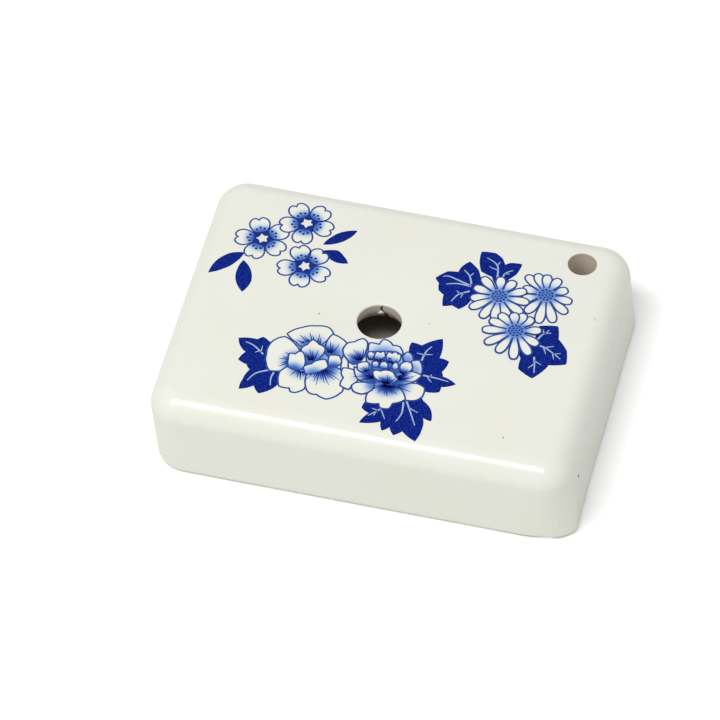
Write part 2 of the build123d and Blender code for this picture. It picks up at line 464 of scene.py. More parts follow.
@dataclass(frozen=True)
class Hole:
    """Round hole through the roof, in millimetres from the middle of the roof.

    The rim is the radius of its softened edge, low is the height of its lower end, and the flare is how far the bare
    wall widens there.
    """

    x: float
    y: float
    radius: float
    rim: float
    steps: int
    low: float
    flare: float
    flare_height: float = 2.6
    flare_power: float = 1.6
    clearance: float = 0.02

    def wall(self, z: float) -> float:
        """Radius of the bare wall at a height, flared towards the lower rim."""
        share = min(max(1.0 - (z - self.low) / self.flare_height, 0.0), 1.0)
        return self.radius + self.clearance + self.flare * share ** self.flare_power

    def ring(self, radius: float) -> Line:
        """Points of a circle round the hole, anticlockwise."""
        turns = (2 * math.pi * i / self.steps for i in range(self.steps))
        return [(self.x + radius * math.cos(a), self.y + radius * math.sin(a)) for a in turns]

    def drop(self, x: float, y: float) -> float:
        """How far the softened rim lies below the roof at a point."""
        inward = self.radius + self.rim - math.dist((x, y), (self.x, self.y))
        return self.rim - math.sqrt(max(self.rim ** 2 - max(inward, 0.0) ** 2, 0.0))


@dataclass(frozen=True)
class BlockForm:
    """Outer form of the glazed block, in millimetres, from the middle of its roof.

    The foot, pull and push fields say where the front right corner of the foot left its round form, and how far.
    """

    length: float = 80.0
    width: float = 60.0
    height: float = 18.0
    lean: float = 1.7
    upright_radius: float = 6.0
    roof_radius: float = 4.6
    roof_thickness: float = 4.2
    glaze_stop: float = 1.0
    skin_foot: float = 0.65
    glaze_thickness: float = 0.27
    glaze_depth: float = 1.2
    foot_fade: tuple[float, float] = (1.0, 12.0)
    foot_reach: tuple[float, float] = (1.5, 3.5)
    foot_pull: float = 0.46
    pull_span: tuple[float, float, float] = (1.6, 4.5, 10.0)
    foot_push: float = 0.45
    push_span: tuple[float, float, float] = (1.4, 3.2, 6.2)
    finger: Hole = Hole(-2.02, -0.3, 4.15, 0.35, 96, 13.8, 0.95)
    spout: Hole = Hole(31.54, 22.49, 2.72, 0.17, 72, 9.6, 0.2)

    @property
    def holes(self) -> tuple[Hole, Hole]:
        """Both holes."""
        return (self.finger, self.spout)

    def middle(self) -> Vector:
        """Middle of the roof in plan, from the box of the CAD skin.

        Returns:
            Its place in the frame at the height of the table, in millimetres.
        """
        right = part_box("glaze_coat")[1][0] / MM
        foot_shift = self.lean * (self.height - self.glaze_stop) / self.height
        return Vector((right - self.length / 2 - foot_shift, 0.0, 0.0))

    def outline(
        self, straight_step: float, corner_steps: int, inset: float = 0.0, radius: float = 0.0
    ) -> list[tuple[Point, Point]]:
        """Sharp plan outline at the roof's height.

        Args:
            straight_step: Distance of points along the straight sides.
            corner_steps: Points round each corner.
            inset: How far the outline is drawn in.
            radius: Radius of its corners, or 0 for the outer radius less the inset.

        Returns:
            (point, outward direction) pairs, anticlockwise.
        """
        pairs: list[tuple[Point, Point]] = []
        radius = radius or self.upright_radius - inset
        half_x, half_y = self.length / 2 - inset - radius, self.width / 2 - inset - radius
        corners = [(half_x, half_y, 0), (-half_x, half_y, 90), (-half_x, -half_y, 180), (half_x, -half_y, 270)]
        for index, (x, y, start) in enumerate(corners):
            for i in range(corner_steps + 1):
                turn = math.radians(start + 90 * i / corner_steps)
                out = (math.cos(turn), math.sin(turn))
                pairs.append(((x + radius * out[0], y + radius * out[1]), out))
            last, out = pairs[-1]
            following = corners[(index + 1) % 4]
            target = (following[0] + radius * out[0], following[1] + radius * out[1])
            count = round(math.dist(last, target) / straight_step)
            for i in range(1, count):
                share = i / count
                point = (last[0] + share * (target[0] - last[0]), last[1] + share * (target[1] - last[1]))
                pairs.append((point, out))
        return pairs

    def lean_tangent(self, out_x: float) -> float:
        """Tangent of a wall's outward lean, from the X part of its outward direction."""
        return -out_x * self.lean / self.height

    def flat_inset(self, out_x: float, radius: float = 0.0) -> float:
        """Distance from a sharp outline to where the flat top starts, for an edge radius."""
        tangent = self.lean_tangent(out_x)
        return (radius or self.roof_radius) * (math.hypot(1.0, tangent) + tangent)

    def edge_rows(self, out_x: float, top: float, radius: float, steps: int) -> list[tuple[float, ...]]:
        """Rows of a rounded top edge, from the flat top down to the wall.

        Args:
            out_x: X part of the wall's outward direction.
            top: Height of the flat top.
            radius: Radius of the edge.
            steps: Number of steps round it.

        Returns:
            (distance out, height, outward part of the normal, upward part) rows.
        """
        tangent = self.lean_tangent(out_x)
        centre, rows = -self.flat_inset(out_x, radius), []
        for i in range(steps + 1):
            theta = math.pi / 2 - (math.pi / 2 + math.atan(tangent)) * i / steps
            z = top - radius * (1 - math.sin(theta))
            rows.append((
                centre + radius * math.cos(theta) + tangent * (top - z), z, math.cos(theta), math.sin(theta)
            ))
        return rows

    def lean_shift(self, z: float) -> float:
        """How far the block stands to the right of its roof at a height."""
        return self.lean * (self.height - z) / self.height

    def settled(self, point: Place) -> Place:
        """Moves a point of the foot's front right corner, which bends early at the front and then turns tightly.

        Args:
            point: The point on or just under the surface.

        Returns:
            Its place on the block as it came out of the kiln.
        """
        x, y, z = point
        low = 1 - smooth_step(z, *self.foot_fade)
        side, front = self.length / 2 + self.lean_shift(z) - x, self.width / 2 + y
        pull = swell_step(side, *self.pull_span) * (1 - smooth_step(front, *self.foot_reach))
        push = swell_step(front, *self.push_span) * (1 - smooth_step(side, *self.foot_reach))
        return x + low * self.foot_push * push, y + low * self.foot_pull * pull, z

    def roof_drop(self, x: float, y: float) -> float:
        """How far the glaze lies below the roof plane.

        Args:
            x: Place on the roof along the length.
            y: Place on the roof towards the rear.

        Returns:
            The depth.
        """
        past = max(
            x - self.length / 2 + self.flat_inset(1.0),
            -x - self.length / 2 + self.flat_inset(-1.0),
            abs(y) - self.width / 2 + self.flat_inset(0.0),
            0.0,
        )
        edge = self.roof_radius - math.sqrt(max(self.roof_radius ** 2 - past ** 2, 0.0))
        return max(edge, *(hole.drop(x, y) for hole in self.holes))


def link(name: str, mesh: Any, material: Any) -> Any:
    """Object of a mesh, in the scene.

    Args:
        name: Its name.
        mesh: Its mesh.
        material: Its material.

    Returns:
        The object.
    """
    piece = bpy.data.objects.new(name, mesh)
    bpy.context.scene.collection.objects.link(piece)
    mesh.materials.append(material)
    return piece


class MeshMaker:
    """Gathers points in millimetres and faces, and makes one mesh in metres."""

    def __init__(self, origin: Vector) -> None:
        """Starts empty.

        Args:
            origin: Where the middle of the roof stands in the frame, in millimetres.
        """
        self.origin = origin
        self.points: list[Place] = []
        self.faces: list[Face] = []
        self.tones: list[float] = []

    def add(self, points: Iterable[Sequence[float]], tone: float = 0.0) -> list[int]:
        """Adds points.

        Args:
            points: Their places.
            tone: Ink tone of all of them.

        Returns:
            Their numbers.
        """
        first = len(self.points)
        self.points.extend(tuple(point) for point in points)
        self.tones.extend([tone] * (len(self.points) - first))
        return list(range(first, len(self.points)))

    def band(self, low: Sequence[int], high: Sequence[int], closed: bool = True) -> None:
        """Joins two rows of equal length by quads that face outwards when the rows run anticlockwise.

        Args:
            low: Numbers of the lower row.
            high: Numbers of the upper row.
            closed: Whether the rows close on themselves.
        """
        count = len(low)
        for i in range(count if closed else count - 1):
            j = (i + 1) % count
            self.faces.append((low[i], low[j], high[j], high[i]))

    def mesh(self, name: str, smooth: bool = True, inked: bool = False) -> Any:
        """Makes the mesh.

        Args:
            name: Its name.
            smooth: Whether its faces are shaded smooth.
            inked: Whether it keeps the ink tones of its points.

        Returns:
            The mesh.
        """
        mesh = bpy.data.meshes.new(name)
        places = [((Vector(point) + self.origin) * MM)[:] for point in self.points]
        mesh.from_pydata(places, [], self.faces)
        mesh.shade_smooth() if smooth else mesh.shade_flat()
        if inked:
            attribute = mesh.attributes.new("tone", "FLOAT", "POINT")
            attribute.data.foreach_set("value", self.tones)
        mesh.validate()
        mesh.update()
        return mesh


def triangles(loops: Sequence[Line], inner: Sequence[Point]) -> tuple[list[Point], list[Face]]:
    """Fills the area inside the first loop and outside the others.

    Args:
        loops: Closed outlines, the outer one first and holes after it.
        inner: Extra points inside.

    Returns:
        The points and the triangles.
    """
    points = [Vector(point) for loop in loops for point in loop] + [Vector(point) for point in inner]
    edges: list[tuple[int, int]] = []
    first = 0
    for loop in loops:
        edges += [(first + i, first + (i + 1) % len(loop)) for i in range(len(loop))]
        first += len(loop)
    inside_only, nearness = 1, 1e-6
    found = delaunay_2d_cdt(points, edges, [], inside_only, nearness)
    places = [(point.x, point.y) for point in found[0]]
    kept = []
    for face in found[2]:
        middle = (sum(places[i][0] for i in face) / len(face), sum(places[i][1] for i in face) / len(face))
        if not any(within(loop, middle) for loop in loops[1:]):
            kept.append(tuple(face))
    return places, kept


def within(loop: Line, point: Point) -> bool:
    """Whether a point lies inside a closed outline.

    Args:
        loop: The outline.
        point: The point.

    Returns:
        True where it does.
    """
    inside = False
    x, y = point
    for (ax, ay), (bx, by) in zip(loop, loop[1:] + loop[:1]):
        if (ay > y) != (by > y) and x < (bx - ax) * (y - ay) / (by - ay) + ax:
            inside = not inside
    return inside


@dataclass
class GlazeSkin:
    """Glass skin over the roof, the walls and the walls of the holes, closed all round."""

    form: BlockForm
    outline_step: float = 1.0
    corner_steps: int = 22
    arc_steps: int = 30
    wall_rows: int = 10
    lip: float = 0.24
    lip_rows: int = 5
    rim_steps: int = 8
    lining_rows: int = 5
    # depths below the roof, as shares of the rim radius, over which the lining turns darker
    lining_dark_span: tuple[float, float] = (0.7, 2.4)
    sharp_angle: float = 50.0
    wave: float = 0.035
    wave_turns: tuple[float, float, float, float] = (0.17, 0.23, 0.41, 0.11)
    wave_starts: tuple[float, float] = (0.5, -0.4)
    second_wave: float = 0.6
    _ends: dict[Hole, list[list[int]]] = field(default_factory=dict, init=False)

    def _waviness(self, x: float, y: float, z: float) -> float:
        """Slow unevenness of the hand-fettled walls, none on the roof.

        Args:
            x: Place along the length.
            y: Place towards the rear.
            z: Height.

        Returns:
            How far the wall stands out.
        """
        (along, across, rising, slanting), (start_x, start_y) = self.wave_turns, self.wave_starts
        first = math.sin(along * x + start_x) * math.cos(across * y + start_y)
        slow = first + self.second_wave * math.sin(rising * z + slanting * (x + y))
        return self.wave * slow * min((self.form.height - z) / self.form.roof_radius, 1.0)

    def _column(self, pair: tuple[Point, Point]) -> list[tuple[float, float, float, float, float, float]]:
        """Points and normals from the flat roof down one line of the wall to the lip.

        Args:
            pair: Point and outward direction of the plan outline.

        Returns:
            (x, y, z, normal x, normal y, normal z) rows.
        """
        form, ((x, y), (out_x, out_y)) = self.form, pair
        beta = math.atan(form.lean_tangent(out_x))
        rows = form.edge_rows(out_x, form.height, form.roof_radius, self.arc_steps)
        top, foot = rows[-1][1], form.skin_foot + self.lip
        for i in range(1, self.wall_rows + 1):
            rows.append((0.0, top + (foot - top) * i / self.wall_rows, math.cos(beta), -math.sin(beta)))
        for i in range(1, self.lip_rows + 1):
            turn = math.pi / 2 * i / self.lip_rows
            drop, back = self.lip * math.sin(turn), self.lip * (1 - math.cos(turn))
            rows.append((-back, foot - drop, math.cos(turn), -math.sin(turn)))
        column = []
        for out, z, side, up in rows:
            px, py = x + out * out_x + form.lean_shift(z), y + out * out_y
            push = self._waviness(px, py, z)
            column.append((px + push * out_x, py + push * out_y, z, side * out_x, side * out_y, up))
        return column

    def _hole_rows(self, hole: Hole, inset: float) -> list[tuple[float, float]]:
        """(radius, height) rows from the roof down the wall of a hole.

        Args:
            hole: The hole.
            inset: Depth below the outer surface of the skin.

        Returns:
            The rows.
        """
        form, rows, arc = self.form, [], self.rim_steps
        centre_radius, centre_z = hole.radius + hole.rim, form.height - hole.rim
        for i in range(arc + 1):
            turn = math.pi / 2 * i / arc
            reach = max(hole.rim - inset, 0.0)
            rows.append((centre_radius - reach * math.sin(turn), centre_z + reach * math.cos(turn)))
        low = form.height - form.glaze_depth
        for i in range(1, self.lining_rows + 1):
            rows.append((rows[arc][0], rows[arc][1] + (low - rows[arc][1]) * i / self.lining_rows))
        return rows

    def build(self) -> Any:
        """Makes the skin and lets it stand for the CAD skin.

        Returns:
            The piece.
        """
        maker = MeshMaker(self.form.middle())
        columns = [self._column(pair) for pair in self.form.outline(self.outline_step, self.corner_steps)]
        thickness = self.form.glaze_thickness
        outer = [maker.add(column[row][:3] for column in columns) for row in range(len(columns[0]))]
        inner = []
        for row in range(len(columns[0]) - self.lip_rows):
            places = []
            for column in columns:
                place, normal = Vector(column[row][:3]), Vector(column[row][3:])
                places.append(place - thickness * normal)
            inner.append(maker.add(places))
        for upper, lower in zip(outer, outer[1:]):
            maker.band(lower, upper)
        for upper, lower in zip(inner, inner[1:]):
            maker.band(upper, lower)
        maker.band(inner[-1], outer[-1])
        self._close_roof(maker, outer[0], self.form.height, 0.0)
        self._close_roof(maker, inner[0], self.form.height - thickness, thickness)
        maker.points = [self.form.settled(point) for point in maker.points]
        mesh = maker.mesh("glaze_skin", inked=True)
        mesh.set_sharp_from_angle(angle=math.radians(self.sharp_angle))
        piece = link("glaze_skin", mesh, FINISHES.get("clear_glaze_white", GlazeFinish()))
        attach(piece, "root")
        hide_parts("glaze_coat")
        LOG.info("made the glaze skin")
        return piece

    def _close_roof(self, maker: MeshMaker, edge: list[int], z: float, inset: float) -> None:
        """Fills the flat roof of one side of the skin and lines its holes.

        Args:
            maker: The mesh in making.
            edge: Points round the flat roof.
            z: Height of the flat roof.
            inset: 0 for the outer side, or the thickness of the skin for the inner side.
        """
        loops = [[maker.points[i][:2] for i in edge]]
        rows = [self._hole_rows(hole, inset) for hole in self.form.holes]
        loops += [hole.ring(row[0][0]) for hole, row in zip(self.form.holes, rows)]
        places, faces = triangles(loops, [])
        numbers = edge + maker.add((x, y, z) for x, y in places[len(edge):])
        for face in faces:
            maker.faces.append(tuple(numbers[i] for i in (face[::-1] if inset else face)))
        first = len(edge)
        for hole, row in zip(self.form.holes, rows):
            ring = numbers[first:first + hole.steps]
            first += hole.steps
            for radius, height in row[1:]:
                # share of the darker tone, growing with depth below the hole's rim
                lining_dark = smooth_step(self.form.height - height, *(share * hole.rim for share in self.lining_dark_span))
                lower = maker.add(((x, y, height) for x, y in hole.ring(radius)), lining_dark)
                maker.band(*((lower, ring) if inset else (ring, lower)))
                ring = lower
            self._ends.setdefault(hole, []).append(ring)
            if inset:
                maker.band(*self._ends[hole])


def swollen(corners: Line, swell: float, steps: int = 7) -> Line:
    """Closed outline whose sides swell outwards as arcs.

    Args:
        corners: Corners where the arcs meet.
        swell: Rise of each arc as a share of its chord.
        steps: Points on each arc.

    Returns:
        The outline, anticlockwise.
    """
    following = corners[1:] + corners[:1]
    area = sum(a[0] * b[1] - b[0] * a[1] for a, b in zip(corners, following))
    if area < 0:
        corners = corners[::-1]
        following = corners[1:] + corners[:1]
    outline = []
    for (ax, ay), (bx, by) in zip(corners, following):
        for i in range(steps):
            share = i / steps
            rise = 4 * swell * share * (1 - share)
            outline.append((ax + share * (bx - ax) + rise * (by - ay), ay + share * (by - ay) - rise * (bx - ax)))
    return outline


def spread(outline: Line, distance: float) -> Line:
    """Moves an outline outwards.

    Args:
        outline: The outline, anticlockwise.
        distance: How far it moves.

    Returns:
        The wider outline.
    """
    moved = []
    for (ax, ay), (x, y), (bx, by) in zip(outline[-1:] + outline[:-1], outline, outline[1:] + outline[:1]):
        reach = math.hypot(bx - ax, by - ay) or 1.0
        moved.append((x + distance * (by - ay) / reach, y - distance * (bx - ax) / reach))
    return moved


def curve(points: Line, steps: int = 6) -> Line:
    """Smooth open line through a few points.

    Args:
        points: Points on the line.
        steps: Pieces between two of them.

    Returns:
        The finer line.
    """
    ends = [points[0], *points, points[-1]]
    line = []
    for a, b, c, d in zip(ends, ends[1:], ends[2:], ends[3:]):
        for i in range(steps):
            t = i / steps
            line.append(tuple(
                0.5 * (2 * q + (r - p) * t + (2 * p - 5 * q + 4 * r - s) * t * t + (3 * q - p - 3 * r + s) * t ** 3)
                for p, q, r, s in zip(a, b, c, d)
            ))
    return [*line, points[-1]]


def turned(points: Line, centre: Point, degrees: float, scale: float = 1.0) -> Line:
    """Points given along and across a direction, in their places round a centre.

    Args:
        points: (distance along, distance across) pairs.
        centre: The centre.
        degrees: The direction.
        scale: Length of one unit of the pairs.

    Returns:
        The points in plan.
    """
    turn = math.radians(degrees)
    along, across = scale * math.cos(turn), scale * math.sin(turn)
    return [(centre[0] + u * along - v * across, centre[1] + u * across + v * along) for u, v in points]


class InkSheet:
    """Ink of one patch: closed plates fused on the glaze, each a little above what was drawn before it."""

    sunk = 0.005
    first_lift = 0.010
    layer_lift = 0.0024
    sharp_angle = 40.0

    def __init__(self, form: BlockForm, layer: int = 0) -> None:
        """Starts an empty sheet.

        Args:
            form: The block under the ink.
            layer: The first layer that is drawn on.
        """
        self.form = form
        self.layer = layer
        self.maker = MeshMaker(form.middle())

    def _place(self, points: Line, lift: float) -> list[Place]:
        """Points lifted off the glaze by a distance."""
        return [(x, y, self.form.height - self.form.roof_drop(x, y) + lift) for x, y in points]

    def _plate(self, points: Line, faces: Sequence[Face], tones: Sequence[float]) -> None:
        """Adds one closed plate.

        Args:
            points: Its points in plan.
            faces: Its faces in plan, anticlockwise.
            tones: Ink tone of each point.
        """
        top = self.maker.add(self._place(points, self.first_lift + self.layer_lift * self.layer))
        low = self.maker.add(self._place(points, -self.sunk))
        self.maker.tones[top[0]:] = [*tones, *tones]
        sides = {(face[i], face[(i + 1) % len(face)]) for face in faces for i in range(len(face))}
        self.maker.faces += [tuple(top[i] for i in face) for face in faces]
        self.maker.faces += [tuple(low[i] for i in face[::-1]) for face in faces]
        rim = sorted(side for side in sides if side[::-1] not in sides)
        self.maker.faces += [(low[a], low[b], top[b], top[a]) for a, b in rim]

    def fill(self, outline: Line, tone: Tone, grain: float = 0.4) -> None:
        """Fills an outline.

        Args:
            outline: The closed outline.
            tone: One tone, or the tone as a function of the place.
            grain: Distance of the points inside, when the tone varies.
        """
        inner: Line = []
        if callable(tone) or any(self.form.roof_drop(*point) > 0 for point in outline):
            low = [min(point[axis] for point in outline) for axis in (0, 1)]
            high = [max(point[axis] for point in outline) for axis in (0, 1)]
            for row in range(1, math.ceil((high[1] - low[1]) / grain)):
                shift = 0.5 * grain * (row % 2)
                for column in range(1, math.ceil((high[0] - low[0]) / grain)):
                    spot = (low[0] + shift + column * grain, low[1] + row * grain)
                    if within(outline, spot):
                        inner.append(spot)
        points, faces = triangles([outline], inner)
        tones = [tone(*point) if callable(tone) else tone for point in points]
        self._plate(points, faces, tones)

    def stroke(self, line: Line, width: float, tone: float, closed: bool = False, taper: float = 1.0) -> None:
        """Draws a line.

        Args:
            line: Its points.
            width: Its width at the start.
            tone: Its tone.
            closed: Whether its end joins its start.
            taper: Width at its end as a share of the width at its start.
        """
        count = len(line)
        left, right = [], []
        for i, (x, y) in enumerate(line):
            before = line[i - 1] if i or closed else line[0]
            after = line[(i + 1) % count] if i + 1 < count or closed else line[-1]
            dx, dy = after[0] - before[0], after[1] - before[1]
            reach = math.hypot(dx, dy) or 1.0
            half = 0.5 * width * (1.0 + (taper - 1.0) * i / (count - 1))
            left.append((x - half * dy / reach, y + half * dx / reach))
            right.append((x + half * dy / reach, y - half * dx / reach))
        faces = []
        for i in range(count if closed else count - 1):
            j = (i + 1) % count
            faces.append((count + i, count + j, j, i))
        self._plate(left + right, faces, [tone] * (2 * count))

    def dot(self, centre: Point, radius: float, tone: float, steps: int = 10) -> None:
        """Draws a round dot."""
        ring = [polar(centre, radius, 360 * i / steps) for i in range(steps)]
        self._plate(ring, [tuple(range(steps))], [tone] * steps)

    def build(self, node: str, slot: Slot) -> Any:
        """Makes the patch and lets it stand for a node of the frame.

        Args:
            node: The node that it replaces.
            slot: The node's material slot.

        Returns:
            The piece.
        """
        piece = self.piece(f"{node}_ink", FINISHES.get("cobalt_ink", InkFinish()), slot)
        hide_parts(node)
        return piece

    def piece(self, name: str, material: Any, slot: Slot) -> Any:
        """Makes the object of the sheet.

        Args:
            name: Its name.
            material: Its material.
            slot: Not used.

        Returns:
            The object.
        """
        mesh = self.maker.mesh(name, inked=True)
        mesh.set_sharp_from_angle(angle=math.radians(self.sharp_angle))
        piece = link(name, mesh, material)
        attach(piece, "root")
        LOG.info("drew %s", name)
        return piece


@dataclass(frozen=True)
class Pen:
    """Widths, in millimetres, and tones that all sprays share."""

    line: float = 0.33
    line_tone: float = 0.88
    leaf_tone: float = FULL_TONE
    vein: float = 0.37
    branch: float = 0.26
    vein_tone: float = 0.34
    vein_taper: float = 0.45


@dataclass(frozen=True)
class Leaf:
    """Solid blue leaf with reserved pale veins."""

    node: str
    corners: Line
    veins: tuple[Line, ...] = ()
    swell: float = 0.06
    bleed: float = 0.0
    pen: Pen = Pen()

    def build(self, form: BlockForm) -> None:
        """Draws the leaf in its own sheet.

        Args:
            form: The block under the ink.
        """
        sheet = InkSheet(form)
        outline = spread(swollen(self.corners, self.swell), self.bleed)
        sheet.fill(outline, self.pen.leaf_tone)
        sheet.layer += 1
        for vein in self.veins:
            width = self.pen.vein if len(vein) > 2 else self.pen.branch
            sheet.stroke(curve(vein), width, self.pen.vein_tone, taper=self.pen.vein_taper)
        sheet.build(self.node, Slot.LEAF)


@dataclass(frozen=True)
class CherryBlossom:
    """Five notched petals round a dark ring with a white star, in millimetres, degrees and ink tones."""

    centre: Point
    turns: tuple[float, ...]
    radius: float = 5.25
    wash_tone: float = 0.72
    wash_span: tuple[float, float] = (1.8, 4.0)
    fan: tuple[float, float, float] = (-17, 0, 17)
    fan_base: float = 0.8
    thread: tuple[float, float] = (1.8, 2.55)
    thread_width: float = 0.10
    thread_tone: float = 0.8
    bead: float = 0.25
    bead_reach: tuple[float, float] = (2.5, 2.8)
    ring_reach: tuple[float, float, float] = (1.72, 1.85, 2.5)
    ring_half: float = 14
    ring_tone: float = 0.97
    star_reach: tuple[float, float] = (1.22, 0.72)
    star_tone: float = 0.04
    pip: tuple[float, float, float] = (0.12, 0.10, 0.14)
    pen: Pen = Pen()
    half: Line = field(default_factory=lambda: [
        (0.17, 0.085), (0.30, 0.20), (0.45, 0.30), (0.60, 0.355), (0.72, 0.365), (0.83, 0.335), (0.92, 0.27),
        (0.975, 0.18), (0.975, 0.10), (0.925, 0.035),
    ])
    notch: float = 0.87

    def petal(self, turn: float) -> Line:
        """Outline of one petal."""
        sides = [(u, -v) for u, v in self.half] + [(self.notch, 0.0)] + self.half[::-1]
        return turned(sides, self.centre, turn, self.radius)

    def wash(self, x: float, y: float) -> float:
        """Tone of the pale wash round the ring."""
        return self.wash_tone * (1 - smooth_step(math.dist((x, y), self.centre), *self.wash_span))

    def draw(self, sheet: InkSheet) -> None:
        """Draws the blossom, one layer after the other.

        Args:
            sheet: The sheet of the spray.
        """
        self._draw_petals(sheet)
        self._draw_threads(sheet)
        self._draw_eye(sheet)

    def _draw_petals(self, sheet: InkSheet) -> None:
        """Draws the washed petals and their outlines.

        Args:
            sheet: The sheet of the spray.
        """
        outlines = [self.petal(turn) for turn in self.turns]
        for outline in outlines:
            sheet.fill(outline, self.wash)
        sheet.layer += 1
        for outline in outlines:
            sheet.stroke(outline, self.pen.line, self.pen.line_tone, closed=True)

    def _draw_threads(self, sheet: InkSheet) -> None:
        """Draws the stamens, each a thread with a bead.

        Args:
            sheet: The sheet of the spray.
        """
        start, end = self.thread
        for turn in self.turns:
            for side in self.fan:
                inner = polar(self.centre, start, turn + self.fan_base * side)
                sheet.stroke([inner, polar(self.centre, end, turn + side)], self.thread_width, self.thread_tone)
        sheet.layer += 1
        near, far = self.bead_reach
        for turn in self.turns:
            for side in self.fan:
                sheet.dot(polar(self.centre, near if side else far, turn + side), self.bead, FULL_TONE)

    def _draw_eye(self, sheet: InkSheet) -> None:
        """Draws the dark ring, the white star in it and the short line in the star.

        Args:
            sheet: The sheet of the spray.
        """
        ring, star = [], []
        waist, shoulder, tip = self.ring_reach
        for turn, gap in zip(self.turns, self._gaps()):
            ring += [polar(self.centre, waist, turn + side) for side in (-self.ring_half, self.ring_half)]
            corners = ((shoulder, -self.ring_half), (tip, 0), (shoulder, self.ring_half))
            ring += [polar(self.centre, reach, gap + side) for reach, side in corners]
            star += [polar(self.centre, reach, way) for reach, way in zip(self.star_reach, (turn, gap))]
        for outline, tone in ((ring, self.ring_tone), (star, self.star_tone)):
            sheet.fill(outline, tone)
            sheet.layer += 1
        half, width, tone = self.pip
        sheet.stroke([polar(self.centre, half, way) for way in (90, 270)], width, tone)

    def _gaps(self) -> list[float]:
        """Directions half way between each petal and the next."""
        following = [*self.turns[1:], self.turns[0] + 360]
        return [(turn + (after if after > turn else after + 360)) / 2 for turn, after in zip(self.turns, following)]


@dataclass
class Spray:
    """Printed spray: each patch of leaves in a sheet of its own and all blossoms in one sheet above them."""

    form: BlockForm
    node: str = ""
    blossoms: tuple[Any, ...] = ()
    leaves: tuple[Leaf, ...] = ()
    first_layer: int = 3

    def build(self) -> None:
        """Draws the leaves, then the blossoms, and what crowns them."""
        for leaf in self.leaves:
            leaf.build(self.form)
        sheet = InkSheet(self.form, self.first_layer)
        for blossom in self.blossoms:
            blossom.draw(sheet)
        self.crown(sheet)
        sheet.build(self.node, Slot.LINE)

    def crown(self, sheet: InkSheet) -> None:
        """Draws what lies over the blossoms, which is nothing unless a spray says otherwise."""


@dataclass
class CherrySpray(Spray):
    """Three cherry blossoms with four plain leaves."""

    node: str = "cherry_blossoms"
    blossoms: tuple[CherryBlossom, ...] = (
        CherryBlossom((-28.2, 14.5), (40, 112, 188, 259, 330)),
        CherryBlossom((-21.0, 20.15), (56, 129, 199, 270, 351)),
        CherryBlossom((-18.8, 9.6), (57, 117, 199, 268, 339)),
    )
    leaves: tuple[Leaf, ...] = (
        Leaf(
            "cherry_leaf_1",
            [(-30.6, 10.3), (-33.1, 9.6), (-35.2, 7.2), (-36.0, 3.9), (-33.4, 5.5), (-31.6, 7.6)],
        ),
        Leaf(
            "cherry_leaf_2",
            [(-30.3, 8.4), (-30.9, 6.0), (-30.5, 3.2), (-28.6, 0.7), (-27.6, 3.6), (-28.4, 6.4)],
        ),
        Leaf(
            "cherry_leaf_3",
            [(-16.8, 15.7), (-15.7, 17.9), (-14.0, 19.6), (-11.3, 20.6), (-12.4, 18.3), (-14.3, 16.6)],
        ),
        Leaf(
            "cherry_leaf_4",
            [(-16.6, 14.1), (-13.7, 14.9), (-12.3, 13.8), (-11.1, 12.2), (-13.2, 11.9), (-15.0, 12.7)],
        ),
    )


@dataclass(frozen=True)
class Chrysanthemum:
    """Ring of long petals round a washed eye full of dots, in millimetres, degrees and ink tones.

    Petals are (direction, reach) pairs, and dots are (count, reach, first direction, radius) rows.
    """

    centre: Point
    petals: tuple[tuple[float, float], ...]
    petal_start: float = 1.6
    half_width: float = 0.93
    widest_share: float = 0.74
    base_share: float = 0.43
    swell_from: float = -0.1
    tip_power: float = 0.72
    side_steps: int = 6
    tip_steps: int = 8
    wash_tone: float = 0.56
    wash_span: tuple[float, float] = (1.3, 3.6)
    disc: float = 1.72
    disc_steps: int = 36
    eye: float = 1.5
    eye_tone: float = 0.66
    frill: float = 0.08
    frill_steps: int = 24
    dots: tuple[tuple[int, float, float, float], ...] = (
        (11, 1.26, 0, 0.20), (6, 0.66, 20, 0.18), (1, 0.0, 0, 0.18),
    )
    pen: Pen = Pen()

    def petal(self, turn: float, reach: float) -> Line:
        """Open outline of one petal, from the eye round the tip and back.

        Args:
            turn: Direction of the petal in degrees.
            reach: Distance of its tip.

        Returns:
            The outline.
        """
        side = []
        start, widest = self.petal_start, self.widest_share * reach
        for i in range(self.side_steps):
            share = i / self.side_steps
            fullness = self.base_share + (1 - self.base_share) * smooth_step(share, self.swell_from, 1.0)
            side.append((start + share * (widest - start), self.half_width * fullness))
        for i in range(self.tip_steps):
            bend = math.pi / 2 * i / self.tip_steps
            narrowed = self.half_width * math.cos(bend) ** self.tip_power
            side.append((widest + (reach - widest) * math.sin(bend), narrowed))
        return turned([(u, -v) for u, v in side] + [(reach, 0.0)] + side[::-1], self.centre, turn)

    def wash(self, x: float, y: float) -> float:
        """Tone of the wash that spreads from the eye."""
        return self.wash_tone * (1 - smooth_step(math.dist((x, y), self.centre), *self.wash_span))

    def draw(self, sheet: InkSheet) -> None:
        """Draws the blossom, one layer after the other.

        Args:
            sheet: The sheet of the spray.
        """
        for turn, reach in self.petals:
            outline = self.petal(turn, reach)
            sheet.fill([self.centre, *outline], self.wash)
            sheet.layer += 1
            sheet.stroke(outline, self.pen.line, self.pen.line_tone)
            sheet.layer += 1
        sheet.fill(self._ring(self.disc, 0.0, self.disc_steps), self.wash)
        sheet.layer += 1
        sheet.fill(self._ring(self.eye, self.frill, self.frill_steps), self.eye_tone)
        sheet.layer += 1
        for count, reach, start, radius in self.dots:
            for i in range(count):
                sheet.dot(polar(self.centre, reach, 360 * i / count + start), radius, FULL_TONE)
        sheet.layer += 1

    def _ring(self, radius: float, frill: float, steps: int) -> Line:
        """Ring round the centre whose points lie further out and further in by turns."""
        return [polar(self.centre, radius + frill * (-1) ** i, 360 * i / steps) for i in range(steps)]


